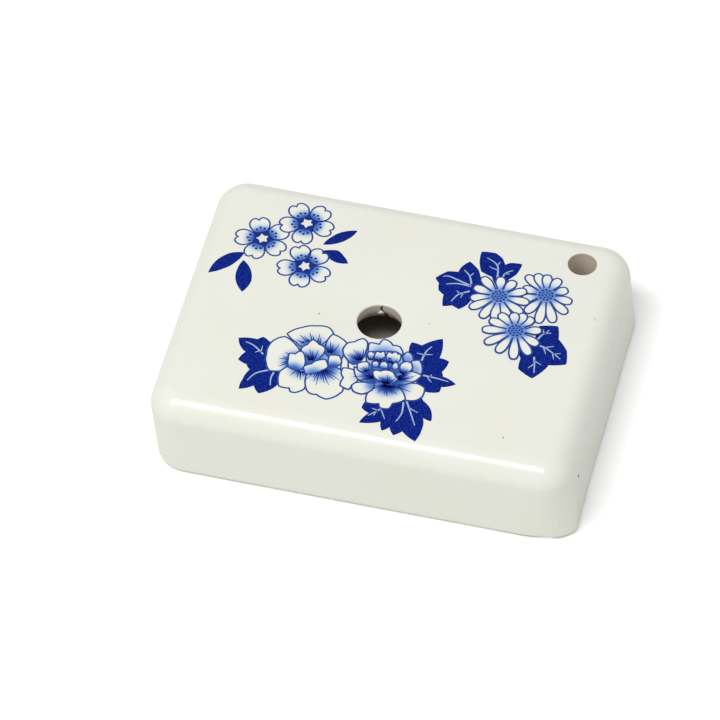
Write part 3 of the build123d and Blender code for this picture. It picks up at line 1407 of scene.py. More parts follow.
@dataclass
class ChrysanthemumSpray(Spray):
    """Three chrysanthemums with three lobed leaves."""

    node: str = "chrysanthemum_blossoms"
    blossoms: tuple[Chrysanthemum, ...] = (
        Chrysanthemum((26.6, 13.3), (
            (139, 6.0), (120, 5.5), (99, 5.0), (70, 4.8), (31, 4.3), (353, 5.1), (323, 5.9), (294, 6.9),
            (271, 7.1), (242, 5.8), (206, 4.6), (171, 4.6),
        )),
        Chrysanthemum((18.2, 10.9), (
            (65, 4.8), (98, 4.8), (136, 5.6), (167, 5.2), (198, 5.4), (221, 6.2), (251, 6.3), (274, 5.8),
            (300, 6.0), (328, 6.0), (357, 5.8), (28, 5.3),
        )),
        Chrysanthemum((23.1, 3.3), (
            (190, 6.2), (221, 6.5), (250, 6.3), (279, 6.9), (306, 6.4), (333, 5.4), (14, 4.8), (57, 4.5),
            (82, 4.5), (107, 4.4), (138, 5.1), (164, 5.5),
        )),
    )
    leaves: tuple[Leaf, ...] = (
        Leaf(
            "chrysanthemum_leaves_left",
            [
                (13.3, 10.2), (13.1, 8.6), (12.6, 7.4), (11.6, 6.3), (10.2, 6.9), (8.6, 6.3), (8.2, 9.0), (7.0, 9.9),
                (6.7, 11.6), (5.8, 12.6), (7.6, 14.6), (9.6, 14.9), (9.9, 16.4), (11.0, 17.9), (12.9, 16.3),
                (14.0, 13.6), (15.4, 12.6), (15.6, 10.9),
            ],
            (
                [(12.6, 12.2), (9.8, 13.1), (8.0, 13.6), (6.9, 13.3)], [(12.6, 12.1), (10.0, 12.2), (7.9, 11.6)],
                [(12.6, 10.9), (10.9, 9.8), (10.2, 8.7), (9.8, 7.6)], [(10.9, 9.8), (10.2, 10.5)],
                [(11.5, 10.3), (11.3, 8.9)], [(12.5, 12.7), (11.7, 14.6), (10.4, 15.8)], [(11.8, 14.5), (12.3, 15.5)],
            ),
            swell=0.03, bleed=0.17,
        ),
        Leaf(
            "chrysanthemum_leaves_rear",
            [
                (17.2, 13.4), (15.9, 15.5), (13.7, 16.3), (12.9, 18.4), (12.7, 20.9), (15.2, 21.1), (16.6, 20.2),
                (17.5, 18.6), (18.5, 19.4), (20.5, 19.6), (20.0, 17.1), (18.9, 15.6), (18.2, 13.4),
            ],
            (
                [(16.9, 14.9), (16.2, 18.3), (13.9, 19.8)], [(16.5, 17.2), (14.8, 17.7)], [(16.2, 18.4), (16.5, 19.4)],
                [(17.8, 14.9), (18.0, 16.7), (19.3, 17.8)], [(18.0, 16.7), (18.9, 16.8)],
            ),
            swell=0.03, bleed=0.17,
        ),
        Leaf(
            "chrysanthemum_leaves_right",
            [
                (27.2, 2.0), (27.2, 5.5), (30.4, 6.2), (31.1, 3.2), (33.2, 0.8), (33.8, -2.3), (30.7, -3.2),
                (30.2, -4.5), (28.5, -7.0), (25.7, -5.4), (25.6, -2.9), (24.6, -0.6), (25.6, 1.2),
            ],
            (
                [(27.5, 2.4), (28.3, 3.9), (29.6, 4.4)], [(28.3, 3.9), (28.0, 5.0)], [(28.5, 3.9), (29.1, 5.1)],
                [(28.2, 0.9), (29.4, 0.6), (31.3, -0.5), (32.6, -1.4)], [(29.3, 0.7), (30.8, 1.4)],
                [(29.0, 0.6), (29.7, -0.8)], [(31.2, -0.5), (32.4, 0.0)], [(30.9, -0.3), (31.4, -1.7)],
                [(27.8, -2.0), (28.3, -4.0), (28.6, -5.8)], [(28.2, -3.6), (27.3, -4.9)], [(28.0, -2.9), (29.5, -3.6)],
            ),
            swell=0.03, bleed=0.17,
        ),
    )


@dataclass(frozen=True)
class PeonyPetal:
    """Ruffled petal with a wash and tapering rays that spread from one point.

    The fan holds the directions of the first and last ray and their number, and the span says where they start and
    end from that point.
    """

    corners: Line
    source: Point
    reach: float
    strength: float
    fan: tuple[float, float, int] = (0.0, 0.0, 0)
    span: tuple[float, float] = (0.8, 3.0)
    swell: float = 0.07
    wash_tone: float = 0.95
    wash_core: float = 0.25
    ray_shares: tuple[float, ...] = (1.0, 0.66, 0.86)
    ray_steps: int = 4
    ray_bend: float = 2.0
    ray_width: float = 0.32
    ray_taper: float = 0.3
    pen: Pen = Pen()

    def wash(self, x: float, y: float) -> float:
        """Tone of the wash at a point."""
        away = math.dist((x, y), self.source)
        return self.wash_tone * self.strength * (1 - smooth_step(away, self.wash_core * self.reach, self.reach))

    def draw(self, sheet: InkSheet) -> None:
        """Draws the petal over what lies there.

        Args:
            sheet: The sheet of the spray.
        """
        outline = swollen(self.corners, self.swell)
        sheet.fill(outline, self.wash)
        sheet.layer += 1
        first, last, count = self.fan
        for i in range(count):
            turn = first + (last - first) * i / max(count - 1, 1)
            start, end = self.span[0], self.span[1] * self.ray_shares[i % len(self.ray_shares)]
            ray = [
                polar(self.source, start + (end - start) * k / self.ray_steps, turn + self.ray_bend * k)
                for k in range(self.ray_steps + 1)
            ]
            sheet.stroke(ray, self.ray_width, FULL_TONE, taper=self.ray_taper)
        sheet.stroke(outline, self.pen.line, self.pen.line_tone, closed=True)
        sheet.layer += 1


@dataclass
class PeonySpray(Spray):
    """Two full peonies side by side with three lobed leaves."""

    node: str = "peony_blossoms"
    blossoms: tuple[PeonyPetal, ...] = (
        # the left peony, from the outer petals inwards
        PeonyPetal(
            [(-17.0, -8.5), (-12.5, -5.0), (-10.2, -5.2), (-7.6, -7.4), (-7.0, -11.0), (-6.2, -14.0), (-6.0, -18.0),
             (-12.0, -18.5), (-15.5, -17.5), (-18.5, -14.5), (-19.0, -10.0)],
            (-12.4, -12.8), 6.0, 0.7,
        ),
        PeonyPetal(
            [(-17.9, -7.3), (-15.6, -5.2), (-13.1, -4.2), (-10.8, -4.0), (-9.6, -5.2), (-9.2, -6.2), (-9.8, -9.0),
             (-13.0, -11.0), (-14.7, -9.8), (-15.8, -8.9)],
            (-12.6, -10.4), 5.0, 0.75, (50, 140, 12), (2.3, 4.5),
        ),
        PeonyPetal(
            [(-20.4, -10.6), (-19.7, -9.2), (-18.1, -8.1), (-15.6, -9.7), (-14.6, -10.9), (-14.6, -14.0),
             (-15.9, -15.9), (-18.9, -16.8), (-19.9, -15.2), (-20.4, -13.1)],
            (-14.6, -13.7), 3.9, 0.8, (135, 224, 9), (1.5, 3.3),
        ),
        PeonyPetal(
            [(-17.0, -16.6), (-16.3, -20.0), (-14.3, -20.0), (-13.9, -20.8), (-13.0, -20.8), (-11.6, -19.6),
             (-11.9, -16.9), (-12.4, -14.8), (-15.2, -14.6)],
            (-13.2, -14.8), 3.5, 0.65, (225, 300, 6), (0.8, 2.9),
        ),
        PeonyPetal(
            [(-10.3, -8.2), (-9.7, -5.5), (-7.8, -6.1), (-6.6, -7.0), (-7.0, -8.2), (-6.6, -10.9), (-8.6, -11.2),
             (-10.2, -10.0)],
            (-9.2, -10.8), 4.3, 0.8, (60, 108, 6), (0.8, 3.5),
        ),
        PeonyPetal(
            [(-12.0, -16.6), (-11.1, -19.7), (-10.2, -20.4), (-9.1, -20.3), (-7.2, -21.0), (-6.1, -20.4),
             (-5.0, -19.1), (-4.6, -18.4), (-5.3, -15.6), (-6.0, -13.6), (-8.4, -13.0), (-11.0, -14.4)],
            (-9.6, -13.6), 4.6, 0.9, (232, 330, 11), (0.6, 4.6),
        ),
        PeonyPetal(
            [(-9.0, -10.6), (-7.2, -10.3), (-6.4, -11.9), (-7.3, -13.1), (-8.6, -13.1)],
            (-7.6, -13.6), 2.7, 0.85,
        ),
        PeonyPetal(
            [(-14.5, -10.2), (-13.6, -9.0), (-12.9, -7.6), (-11.5, -8.5), (-10.4, -8.9), (-10.1, -9.6),
             (-10.5, -11.3), (-11.2, -12.9), (-12.6, -13.6), (-13.6, -12.2)],
            (-11.9, -13.2), 4.2, 0.8, (72, 128, 7), (0.6, 3.4),
        ),
        PeonyPetal(
            [(-16.3, -11.9), (-16.2, -13.2), (-15.7, -15.1), (-14.7, -15.5), (-13.5, -15.3), (-12.9, -14.4),
             (-13.3, -12.2), (-14.0, -11.0), (-14.7, -11.0), (-15.2, -11.8)],
            (-14.6, -16.2), 3.3, 0.85,
        ),
        PeonyPetal(
            [(-13.0, -14.4), (-11.7, -13.4), (-11.2, -12.6), (-9.5, -11.8), (-8.6, -13.4), (-9.3, -14.3),
             (-12.1, -16.1)],
            (-10.6, -16.4), 3.4, 0.7,
        ),
        # the right peony, from the outer petals inwards
        PeonyPetal(
            [(-5.2, -8.5), (-3.5, -6.8), (-1.0, -6.3), (2.5, -6.2), (5.0, -7.6), (6.8, -9.2), (7.2, -10.8),
             (8.4, -14.5), (7.8, -16.5), (5.5, -17.6), (3.5, -19.2), (0.8, -18.6), (-1.0, -17.4), (-3.2, -17.0),
             (-5.0, -15.5), (-4.8, -13.0)],
            (1.8, -12.4), 5.6, 0.85,
        ),
        PeonyPetal(
            [(-2.4, -7.3), (-2.5, -5.9), (-0.7, -5.9), (-0.2, -4.5), (0.8, -4.6), (1.8, -5.5), (3.1, -5.5),
             (4.1, -7.0), (3.4, -9.0), (-1.8, -9.2)],
            (0.8, -8.9), 4.4, 0.62,
        ),
        PeonyPetal([(4.2, -7.8), (4.8, -6.4), (5.7, -6.8), (6.3, -8.2), (5.3, -9.2)], (5.0, -9.0), 3.2, 0.55),
        PeonyPetal(
            [(6.1, -8.4), (7.4, -7.9), (8.3, -9.4), (8.5, -11.0), (7.0, -11.2), (6.2, -9.9)],
            (6.4, -10.8), 3.2, 0.5,
        ),
        PeonyPetal(
            [(4.7, -14.6), (8.4, -13.5), (9.9, -14.2), (9.9, -16.4), (8.9, -17.5), (6.9, -17.8), (4.3, -16.3)],
            (4.2, -14.6), 4.2, 0.75, (335, 352, 2), (0.8, 3.6),
        ),
        PeonyPetal(
            [(3.2, -15.2), (5.6, -15.4), (7.1, -17.7), (5.0, -19.2), (4.6, -20.6), (3.0, -20.7), (2.6, -19.8),
             (0.3, -20.1), (-0.1, -18.3), (0.9, -16.4)],
            (3.2, -14.9), 3.9, 0.95, (195, 345, 13), (0.3, 2.9),
        ),
        PeonyPetal(
            [(-5.8, -13.0), (-3.5, -13.1), (-2.4, -15.0), (-3.3, -16.6), (-3.6, -17.8), (-5.4, -17.2), (-5.2, -15.3),
             (-5.9, -14.2)],
            (-2.6, -14.4), 2.0, 0.25,
        ),
        PeonyPetal(
            [(-3.3, -16.8), (-2.7, -15.9), (0.7, -15.4), (0.6, -17.0), (-1.0, -18.3), (-2.7, -18.0)],
            (1.2, -15.4), 3.3, 0.7,
        ),
        PeonyPetal(
            [(-6.5, -7.0), (-5.3, -6.4), (-3.9, -5.2), (-3.0, -5.8), (-2.7, -8.0), (-3.0, -10.4), (-4.2, -11.8),
             (-5.8, -10.6), (-6.9, -8.9)],
            (-3.1, -10.9), 3.6, 0.9, (84, 150, 7), (0.5, 3.3),
        ),
        PeonyPetal(
            [(-3.9, -12.2), (-2.6, -13.1), (-0.5, -13.2), (0.9, -15.1), (-1.2, -15.4), (-2.8, -14.8)],
            (0.8, -14.0), 4.6, 0.9, (158, 196, 6), (0.4, 4.4),
        ),
        PeonyPetal(
            [(4.3, -13.0), (5.2, -12.0), (6.5, -10.9), (8.7, -11.4), (6.9, -13.8), (4.7, -14.6), (3.4, -14.9)],
            (3.6, -13.4), 4.6, 0.9, (-4, 34, 7), (0.6, 4.5),
        ),
        PeonyPetal(
            [(-2.5, -8.5), (-1.4, -7.9), (0.5, -7.5), (2.7, -7.0), (3.7, -7.3), (4.6, -9.0), (4.1, -11.6),
             (1.0, -12.5), (-1.4, -11.3)],
            (1.8, -10.8), 5.0, 0.75, (200, 340, 8), (0.4, 1.8),
        ),
        PeonyPetal(
            [(-2.3, -8.4), (-1.7, -7.9), (-0.9, -8.4), (-0.8, -9.6), (-1.6, -10.0)],
            (-1.3, -10.4), 2.3, 0.8, (70, 120, 3), (0.5, 1.5),
        ),
        PeonyPetal(
            [(-0.9, -8.4), (-0.7, -7.6), (0.0, -7.8), (0.6, -7.3), (1.1, -8.6), (0.3, -9.9), (-0.7, -9.7)],
            (0.1, -10.6), 2.9, 0.8, (64, 118, 4), (0.6, 2.1),
        ),
        PeonyPetal(
            [(1.2, -8.2), (1.5, -7.2), (2.1, -7.5), (2.8, -6.9), (3.2, -7.4), (3.8, -7.4), (3.9, -8.9), (3.0, -9.6),
             (1.6, -9.3)],
            (2.4, -10.6), 3.1, 0.8, (55, 120, 5), (0.8, 2.3),
        ),
        PeonyPetal([(2.9, -9.9), (3.5, -9.4), (4.1, -10.5), (3.6, -11.4), (2.9, -10.9)], (3.3, -12.0), 2.1, 0.8),
        PeonyPetal(
            [(0.6, -10.2), (1.3, -9.7), (2.0, -10.2), (2.1, -11.2), (1.2, -11.5), (0.6, -11.0)],
            (1.4, -11.9), 1.8, 0.8,
        ),
        PeonyPetal([(-0.9, -10.3), (-0.1, -10.0), (0.4, -10.6), (0.2, -11.5), (-0.6, -11.5)], (-0.1, -12.0), 1.8, 0.8),
        PeonyPetal(
            [(-3.5, -11.5), (-3.0, -11.0), (-1.8, -10.6), (-0.9, -11.6), (-0.6, -12.6), (-1.6, -13.4), (-3.0, -12.9)],
            (-1.0, -13.2), 2.5, 0.8, (95, 165, 5), (0.4, 2.2),
        ),
        PeonyPetal(
            [(4.3, -9.6), (5.2, -8.8), (6.2, -9.0), (6.6, -10.4), (5.8, -11.5), (4.6, -11.6)],
            (4.9, -12.2), 2.7, 0.85, (50, 100, 3), (0.4, 1.9),
        ),
        PeonyPetal(
            [(-0.3, -12.7), (0.1, -12.2), (1.1, -12.2), (1.7, -11.8), (2.5, -11.7), (3.4, -11.9), (4.0, -12.8),
             (4.6, -13.3), (3.8, -14.7), (2.2, -14.8), (0.5, -14.1)],
            (2.8, -15.2), 3.0, 0.95, (48, 142, 8), (0.3, 2.5),
        ),
    )
    stamens: tuple[Point, ...] = (
        (0.3, -9.3), (2.0, -8.8), (1.9, -9.9), (0.6, -10.5), (1.1, -9.5), (-0.7, -10.0), (2.8, -9.9), (-0.3, -9.6),
    )
    stamen: float = 0.19
    leaves: tuple[Leaf, ...] = (
        Leaf(
            "peony_leaves_left",
            [
                (-20.0, -10.0), (-20.7, -9.9), (-22.0, -9.1), (-22.9, -9.9), (-26.4, -10.4), (-25.5, -12.4),
                (-24.3, -13.4), (-25.2, -15.5), (-23.4, -16.3), (-22.5, -17.4), (-23.2, -20.0), (-23.3, -22.4),
                (-20.8, -21.0), (-19.5, -22.6), (-17.2, -20.8), (-16.2, -18.4), (-18.6, -15.2), (-18.9, -12.4),
            ],
            (
                [(-21.0, -13.2), (-23.1, -11.6), (-24.9, -11.0)], [(-21.9, -12.6), (-22.6, -13.1)],
                [(-21.5, -12.9), (-21.6, -11.2)], [(-19.1, -16.7), (-21.2, -18.0), (-22.3, -20.0)],
                [(-18.0, -17.0), (-18.2, -18.4), (-17.9, -20.2)],
            ),
        ),
        Leaf(
            "peony_leaves_right",
            [
                (6.0, -9.6), (4.9, -5.6), (5.0, -3.9), (7.0, -4.2), (10.4, -1.7), (10.9, -6.4), (12.8, -6.8),
                (12.1, -9.6), (12.5, -10.6), (15.3, -11.9), (12.8, -13.2), (12.7, -14.5), (10.2, -15.0), (8.2, -14.2),
            ],
            (
                [(7.8, -7.8), (8.1, -5.6), (8.9, -4.0)], [(8.0, -6.3), (6.5, -6.2)], [(8.1, -6.2), (9.5, -5.9)],
                [(8.9, -11.2), (11.3, -11.3), (13.8, -11.6)], [(10.2, -11.4), (10.4, -10.6)],
                [(9.8, -11.5), (10.8, -12.5)],
            ),
        ),
        Leaf(
            "peony_leaves_front",
            [
                (0.4, -18.9), (-0.3, -21.4), (1.3, -22.4), (0.1, -25.0), (3.9, -23.9), (4.6, -25.9), (5.8, -24.8),
                (6.9, -26.4), (8.3, -25.2), (11.1, -26.8), (11.7, -24.0), (11.3, -21.2), (12.9, -21.6), (12.2, -18.9),
                (10.4, -17.2), (9.0, -15.8), (5.0, -17.0),
            ],
            (
                [(3.5, -20.5), (2.5, -21.7), (1.3, -23.0)], [(2.8, -21.4), (1.6, -21.1)], [(2.6, -21.5), (2.3, -22.8)],
                [(3.4, -21.2), (4.5, -23.1)], [(6.9, -18.4), (7.2, -21.0), (6.6, -23.2)],
                [(7.2, -17.6), (8.8, -20.6), (10.2, -23.3)], [(8.3, -19.5), (10.1, -20.2)],
            ),
        ),
    )

    def crown(self, sheet: InkSheet) -> None:
        """Draws the stamens of the right peony."""
        for centre in self.stamens:
            sheet.dot(centre, self.stamen, FULL_TONE)


@dataclass
class PorcelainShell:
    """Roof and walls of bare porcelain under the glaze, hollow, with both holes and a nicked lower rim."""

    form: BlockForm
    wall: float = 4.0
    inner_radius: float = 1.2
    bevel: float = 0.25
    clearance: float = 0.02
    overrun: float = 2.0
    outline_step: float = 2.0
    corner_steps: int = 16
    edge_steps: int = 14
    sharp_angle: float = 32.0
    bore_rows: int = 5
    bore_spread: float = 0.4
    boss_radius: float = 5.2
    boss_shift: float = 0.9
    boss_edge: float = 1.0
    boss_drop: float = 0.4
    boss_steps: int = 4
    cap_grid: float = 5.3
    cap_count: int = 8
    nick_turn: float = 86.0
    nick_width: float = 0.34
    nick_height: float = 1.95
    nick_slope: float = 0.2
    nick_reach: tuple[float, float] = (-0.5, 1.2)
    nick_sides: tuple[float, ...] = (-0.9, 1.3, 1.1, 0.6, -0.8)

    def build(self) -> Any:
        """Makes the shell and lets it stand for the CAD shell.

        Returns:
            The piece.
        """
        form = self.form
        inset = form.glaze_thickness + self.clearance
        ceiling = form.height - form.roof_thickness
        outer = self._leaning_block(inset, 0.0, form.height - inset, form.roof_radius - inset, self.bevel)
        hollow = self._leaning_block(self.wall, -self.overrun, ceiling, self.inner_radius, 0.0, self.inner_radius)
        piece = link("porcelain_shell", outer, FINISHES.get("porcelain_biscuit", BiscuitFinish()))
        self._join(piece, hollow)
        self._join(piece, self._boss(ceiling), "UNION")
        for hole in form.holes:
            self._join(piece, self._bore(hole))
        self._join(piece, self._nick(ceiling))
        piece.data.shade_smooth()
        piece.data.set_sharp_from_angle(angle=math.radians(self.sharp_angle))
        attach(piece, "root")
        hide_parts("upper_shell")
        LOG.info("made the porcelain shell")
        return piece

    def _leaning_block(
        self, inset: float, low: float, top: float, edge: float, bevel: float, corner: float = 0.0
    ) -> Any:
        """Closed leaning block with rounded uprights and a rounded top edge.

        Args:
            inset: How far its walls are drawn in from the glazed form.
            low: Height of its foot.
            top: Height of its top.
            edge: Radius of the top edge.
            bevel: Width of the bevel round the foot.
            corner: Radius of its uprights, or 0 for the form's own less the inset.

        Returns:
            The mesh.
        """
        form, maker = self.form, MeshMaker(self.form.middle())
        columns = []
        for (x, y), (out_x, out_y) in form.outline(self.outline_step, self.corner_steps, inset, corner):
            rows = [(out, z) for out, z, _, _ in form.edge_rows(out_x, top, edge, self.edge_steps)]
            rows += [(0.0, low + bevel), (-bevel, low)] if bevel else [(0.0, low)]
            columns.append([(x + out * out_x + form.lean_shift(z), y + out * out_y, z) for out, z in rows])
        rings = [maker.add(column[row] for column in columns) for row in range(len(columns[0]))]
        for upper, lower in zip(rings, rings[1:]):
            maker.band(lower, upper)
        self._cap(maker, rings[0], True)
        self._cap(maker, rings[-1], False)
        maker.points = [form.settled(point) for point in maker.points]
        return maker.mesh("block")

    def _cap(self, maker: MeshMaker, ring: list[int], upwards: bool) -> None:
        """Closes a level ring by small triangles, which are cut more cleanly than one large face.

        Args:
            maker: The mesh in making.
            ring: Points round the ring.
            upwards: Whether the cap faces up.
        """
        loop, z = [maker.points[i][:2] for i in ring], maker.points[ring[0]][2]
        reach = range(-self.cap_count, self.cap_count + 1)
        inner = [(self.cap_grid * i, self.cap_grid * j) for i in reach for j in reach]
        places, faces = triangles([loop], [point for point in inner if within(loop, point)])
        numbers = ring + maker.add((x, y, z) for x, y in places[len(ring):])
        maker.faces += [tuple(numbers[i] for i in (face if upwards else face[::-1])) for face in faces]

    def _rings(self, hole: Hole, rows: Sequence[tuple[float, float]], name: str) -> Any:
        """Closed round solid on a hole's axis.

        Args:
            hole: The hole.
            rows: Its (radius, height) rows, from the top down.
            name: Name of the mesh.

        Returns:
            The mesh.
        """
        maker = MeshMaker(self.form.middle())
        rings = [maker.add((x, y, z) for x, y in hole.ring(r)) for r, z in rows]
        for upper, lower in zip(rings, rings[1:]):
            maker.band(lower, upper)
        maker.faces += [tuple(rings[0]), tuple(rings[-1][::-1])]
        return maker.mesh(name)

    def _bore(self, hole: Hole) -> Any:
        """Cutter of a hole, wider where the glaze lines it and flared towards its lower rim.

        Args:
            hole: The hole.

        Returns:
            The mesh.
        """
        form = self.form
        stop = form.height - form.glaze_depth - self.clearance
        lined = hole.radius + form.glaze_thickness - self.clearance
        rows = [(lined, form.height + self.overrun), (lined, stop), (hole.wall(stop), stop)]
        for i in range(self.bore_rows + 1):
            z = hole.low + hole.flare_height * (1 - i / self.bore_rows)
            rows.append((hole.wall(z), z))
        rows.append((hole.wall(hole.low) + self.bore_spread * hole.flare, hole.low - 0.5 * self.overrun))
        return self._rings(hole, rows, "bore")

    def _boss(self, ceiling: float) -> Any:
        """Thicker corner round the spout hole, with a rounded lower edge.

        Args:
            ceiling: Height of the hollow's roof.

        Returns:
            The mesh.
        """
        spout, edge = self.form.spout, self.boss_edge
        corner = replace(spout, x=spout.x + self.boss_shift, y=spout.y + self.boss_shift)
        rows = [(self.boss_radius, ceiling + edge)]
        for i in range(self.boss_steps + 1):
            turn = math.pi / 2 * i / self.boss_steps
            height = spout.low + self.boss_drop - edge * math.sin(turn)
            rows.append((self.boss_radius - edge + edge * math.cos(turn), height))
        return self._rings(corner, rows, "boss")

    def _nick(self, ceiling: float) -> Any:
        """Cutter of the nick where the crack has chipped the lower rim of the finger hole.

        Args:
            ceiling: Height of the hollow's roof.

        Returns:
            The mesh.
        """
        maker, hole = MeshMaker(self.form.middle()), self.form.finger
        near, far = hole.radius + self.nick_reach[0], hole.radius + hole.flare + self.nick_reach[1]
        top, low = ceiling + self.nick_height, ceiling - 0.5 * self.overrun
        heights = (low, low, ceiling + 0.5 * self.nick_height, top, top - self.nick_slope)
        turns = [self.nick_turn + side * math.degrees(self.nick_width / hole.radius) for side in self.nick_sides]
        rings = []
        for reach in (near, far):
            rings.append(maker.add((*polar((hole.x, hole.y), reach, turn), z) for turn, z in zip(turns, heights)))
        maker.band(rings[0], rings[1])
        maker.faces += [tuple(rings[1]), tuple(rings[0][::-1])]
        return maker.mesh("nick")

    @staticmethod
    def _join(piece: Any, mesh: Any, operation: str = "DIFFERENCE") -> None:
        """Takes a solid out of a piece or adds it.

        Args:
            piece: The piece.
            mesh: The solid, in the frame's own place.
            operation: The way they are combined.
        """
        solid = bpy.data.objects.new("solid", mesh)
        bpy.context.scene.collection.objects.link(solid)
        change = piece.modifiers.new("change", "BOOLEAN")
        change.operation, change.solver, change.object = operation, "EXACT", solid
        result = bpy.data.meshes.new_from_object(piece.evaluated_get(bpy.context.evaluated_depsgraph_get()))
        piece.modifiers.clear()
        before, piece.data = piece.data, result
        bpy.data.objects.remove(solid)
        for unused in (before, mesh):
            bpy.data.meshes.remove(unused)


@dataclass
class Flaws:
    """Crack and chip in the wall of the finger hole, iron specks on the roof and a pinhole in the right wall."""

    form: BlockForm
    crack: tuple[tuple[float, float, float], ...] = (
        (91.5, 18.02, 0.10), (93.4, 17.7, 0.16), (99.0, 17.1, 0.50), (98.0, 16.6, 0.36), (94.5, 16.2, 0.26),
        (91.0, 15.8, 0.42), (87.5, 15.3, 0.62), (87.0, 14.6, 0.66),
    )
    chip: tuple[tuple[float, float, float], ...] = (
        (98.0, 16.1, 0.30), (98.8, 15.8, 0.80), (99.6, 15.4, 1.15), (99.4, 15.0, 1.10), (98.0, 14.7, 0.50),
    )
    strip_depths: tuple[float, float] = (-0.04, 0.12)
    strip_drop: float = 0.01
    pinhole: tuple[float, float] = (-21.6, 10.3)
    pinhole_radius: float = 0.31
    pinhole_height: float = 0.8
    pinhole_lift: float = 0.04
    pinhole_rows: tuple[tuple[float, float], ...] = ((0.35, -0.02), (1.0, -0.035), (1.0, 0.1))
    pinhole_steps: int = 14
    specks: tuple[tuple[float, float, float], ...] = (
        (-13.38, -1.13, 0.26), (7.05, 1.33, 0.20), (36.75, 9.74, 0.36), (26.54, -22.26, 0.26),
    )
    speck_shift: float = 0.05
    speck_core: float = 0.45
    stain: StainFinish = StainFinish()
    clean: BiscuitFinish = BiscuitFinish(
        pale=(0.96, 0.95, 0.91), stain=(0.80, 0.78, 0.72), hollow=(0.96, 0.95, 0.91), stain_share=0.2
    )
    brown: StainFinish = StainFinish(dark=(0.68, 0.62, 0.46), brown=(0.73, 0.68, 0.54), roughness=0.2)

    def build(self) -> None:
        """Makes every flaw."""
        self._strip("hairline_crack", self.crack, FINISHES.get("settled_stain", self.stain))
        self._strip("fresh_chip", self.chip, FINISHES.get("clean_chip", self.clean))
        self._pinhole()
        sheet = InkSheet(self.form)
        for x, y, radius in self.specks:
            sheet.dot((x, y), radius, 0.0)
            sheet.dot((x + self.speck_shift, y), self.speck_core * radius, FULL_TONE)
        sheet.piece("iron_specks", FINISHES.get("iron_speck", self.brown), Slot.GLAZE)

    def _strip(self, name: str, rows: Sequence[tuple[float, float, float]], material: Any) -> None:
        """Thin strip down the wall of the finger hole.

        Args:
            name: Name of the piece.
            rows: Its (direction, height, width) rows, from the top down.
            material: Its material.
        """
        maker, hole = MeshMaker(self.form.middle()), self.form.finger
        strips = []
        for depth in self.strip_depths:
            for side in (-1, 1):
                points = []
                for turn, z, width in rows:
                    swing = math.degrees(0.5 * side * width / hole.radius)
                    eased = max(z - self.form.height + hole.rim, 0.0)
                    out = hole.wall(z) - hole.clearance + eased + depth
                    height = min(z, self.form.height - self.strip_drop)
                    points.append((*polar((hole.x, hole.y), out, turn + swing), height))
                strips.append(maker.add(points))
        near_left, near_right, far_left, far_right = strips
        around = [near_left, near_right, far_right, far_left]
        for low, high in zip(around, around[1:] + around[:1]):
            maker.band(low, high, closed=False)
        maker.faces += [tuple(strip[0] for strip in around), tuple(strip[-1] for strip in around[::-1])]
        self._finish(name, maker, material)

    def _pinhole(self) -> None:
        """Dark pit in the glaze of the right wall."""
        form, maker = self.form, MeshMaker(self.form.middle())
        y, z = self.pinhole
        rings = []
        for radius, depth in self.pinhole_rows:
            ring = []
            for i in range(self.pinhole_steps):
                turn = 2 * math.pi * i / self.pinhole_steps
                height = z + self.pinhole_height * radius * self.pinhole_radius * math.sin(turn)
                out = form.length / 2 + form.lean_shift(height) - depth + self.pinhole_lift
                ring.append((out, y + radius * self.pinhole_radius * math.cos(turn), height))
            rings.append(maker.add(ring))
        for upper, lower in zip(rings, rings[1:]):
            maker.band(upper, lower)
        maker.faces += [tuple(rings[0][::-1]), tuple(rings[-1])]
        self._finish("pinhole", maker, FINISHES.get("settled_stain", self.stain))

    @staticmethod
    def _finish(name: str, maker: MeshMaker, material: Any) -> None:
        """Makes the object of a flaw.

        Args:
            name: Its name.
            maker: The maker that holds its points and faces.
            material: Its material.
        """
        piece = link(name, maker.mesh(name), material)
        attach(piece, "root")
        LOG.info("made %s", name)


@dataclass(frozen=True)
class BareBody:
    """Floor slab and slip seam of the frame, which keep their shape and get their finishes; the slab's finish holds
    painted shade and a painted pool of light.
    """

    slab: BiscuitFinish = BiscuitFinish(
        # the dark hollow tone is painted shade over the floor of the hollow
        pale=(0.88, 0.86, 0.79), hollow=(0.30, 0.25, 0.19), stain_share=0.5,
        # the pale patch is a painted pool of light on the floor under the finger hole
        patch=(-2.4, 7.2, 4.4), lit_patch_reach=(2.5, 7.0),
    )
    seam: BiscuitFinish = BiscuitFinish(pale=(0.68, 0.64, 0.55), stain_share=0.6)

    def build(self) -> None:
        """Dresses both pieces."""
        self._dress("base_slab", FINISHES.get("porcelain_biscuit_slab", self.slab))
        self._dress("luting_slip", FINISHES.get("porcelain_slip_seam", self.seam))

    @staticmethod
    def _dress(node: str, material: Any) -> None:
        """Gives a node of the frame its material.

        Args:
            node: The node.
            material: The material.
        """
        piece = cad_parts[node]
        if piece.material_slots:
            for place in piece.material_slots:
                place.material = material
        else:
            piece.data.materials.append(material)
        LOG.info("dressed %s", node)


@dataclass(frozen=True)
class Lamp:
    """Wide soft lamp, its place and size in metres and its power in watts."""

    name: str
    place: Place
    size: tuple[float, float]
    power: float


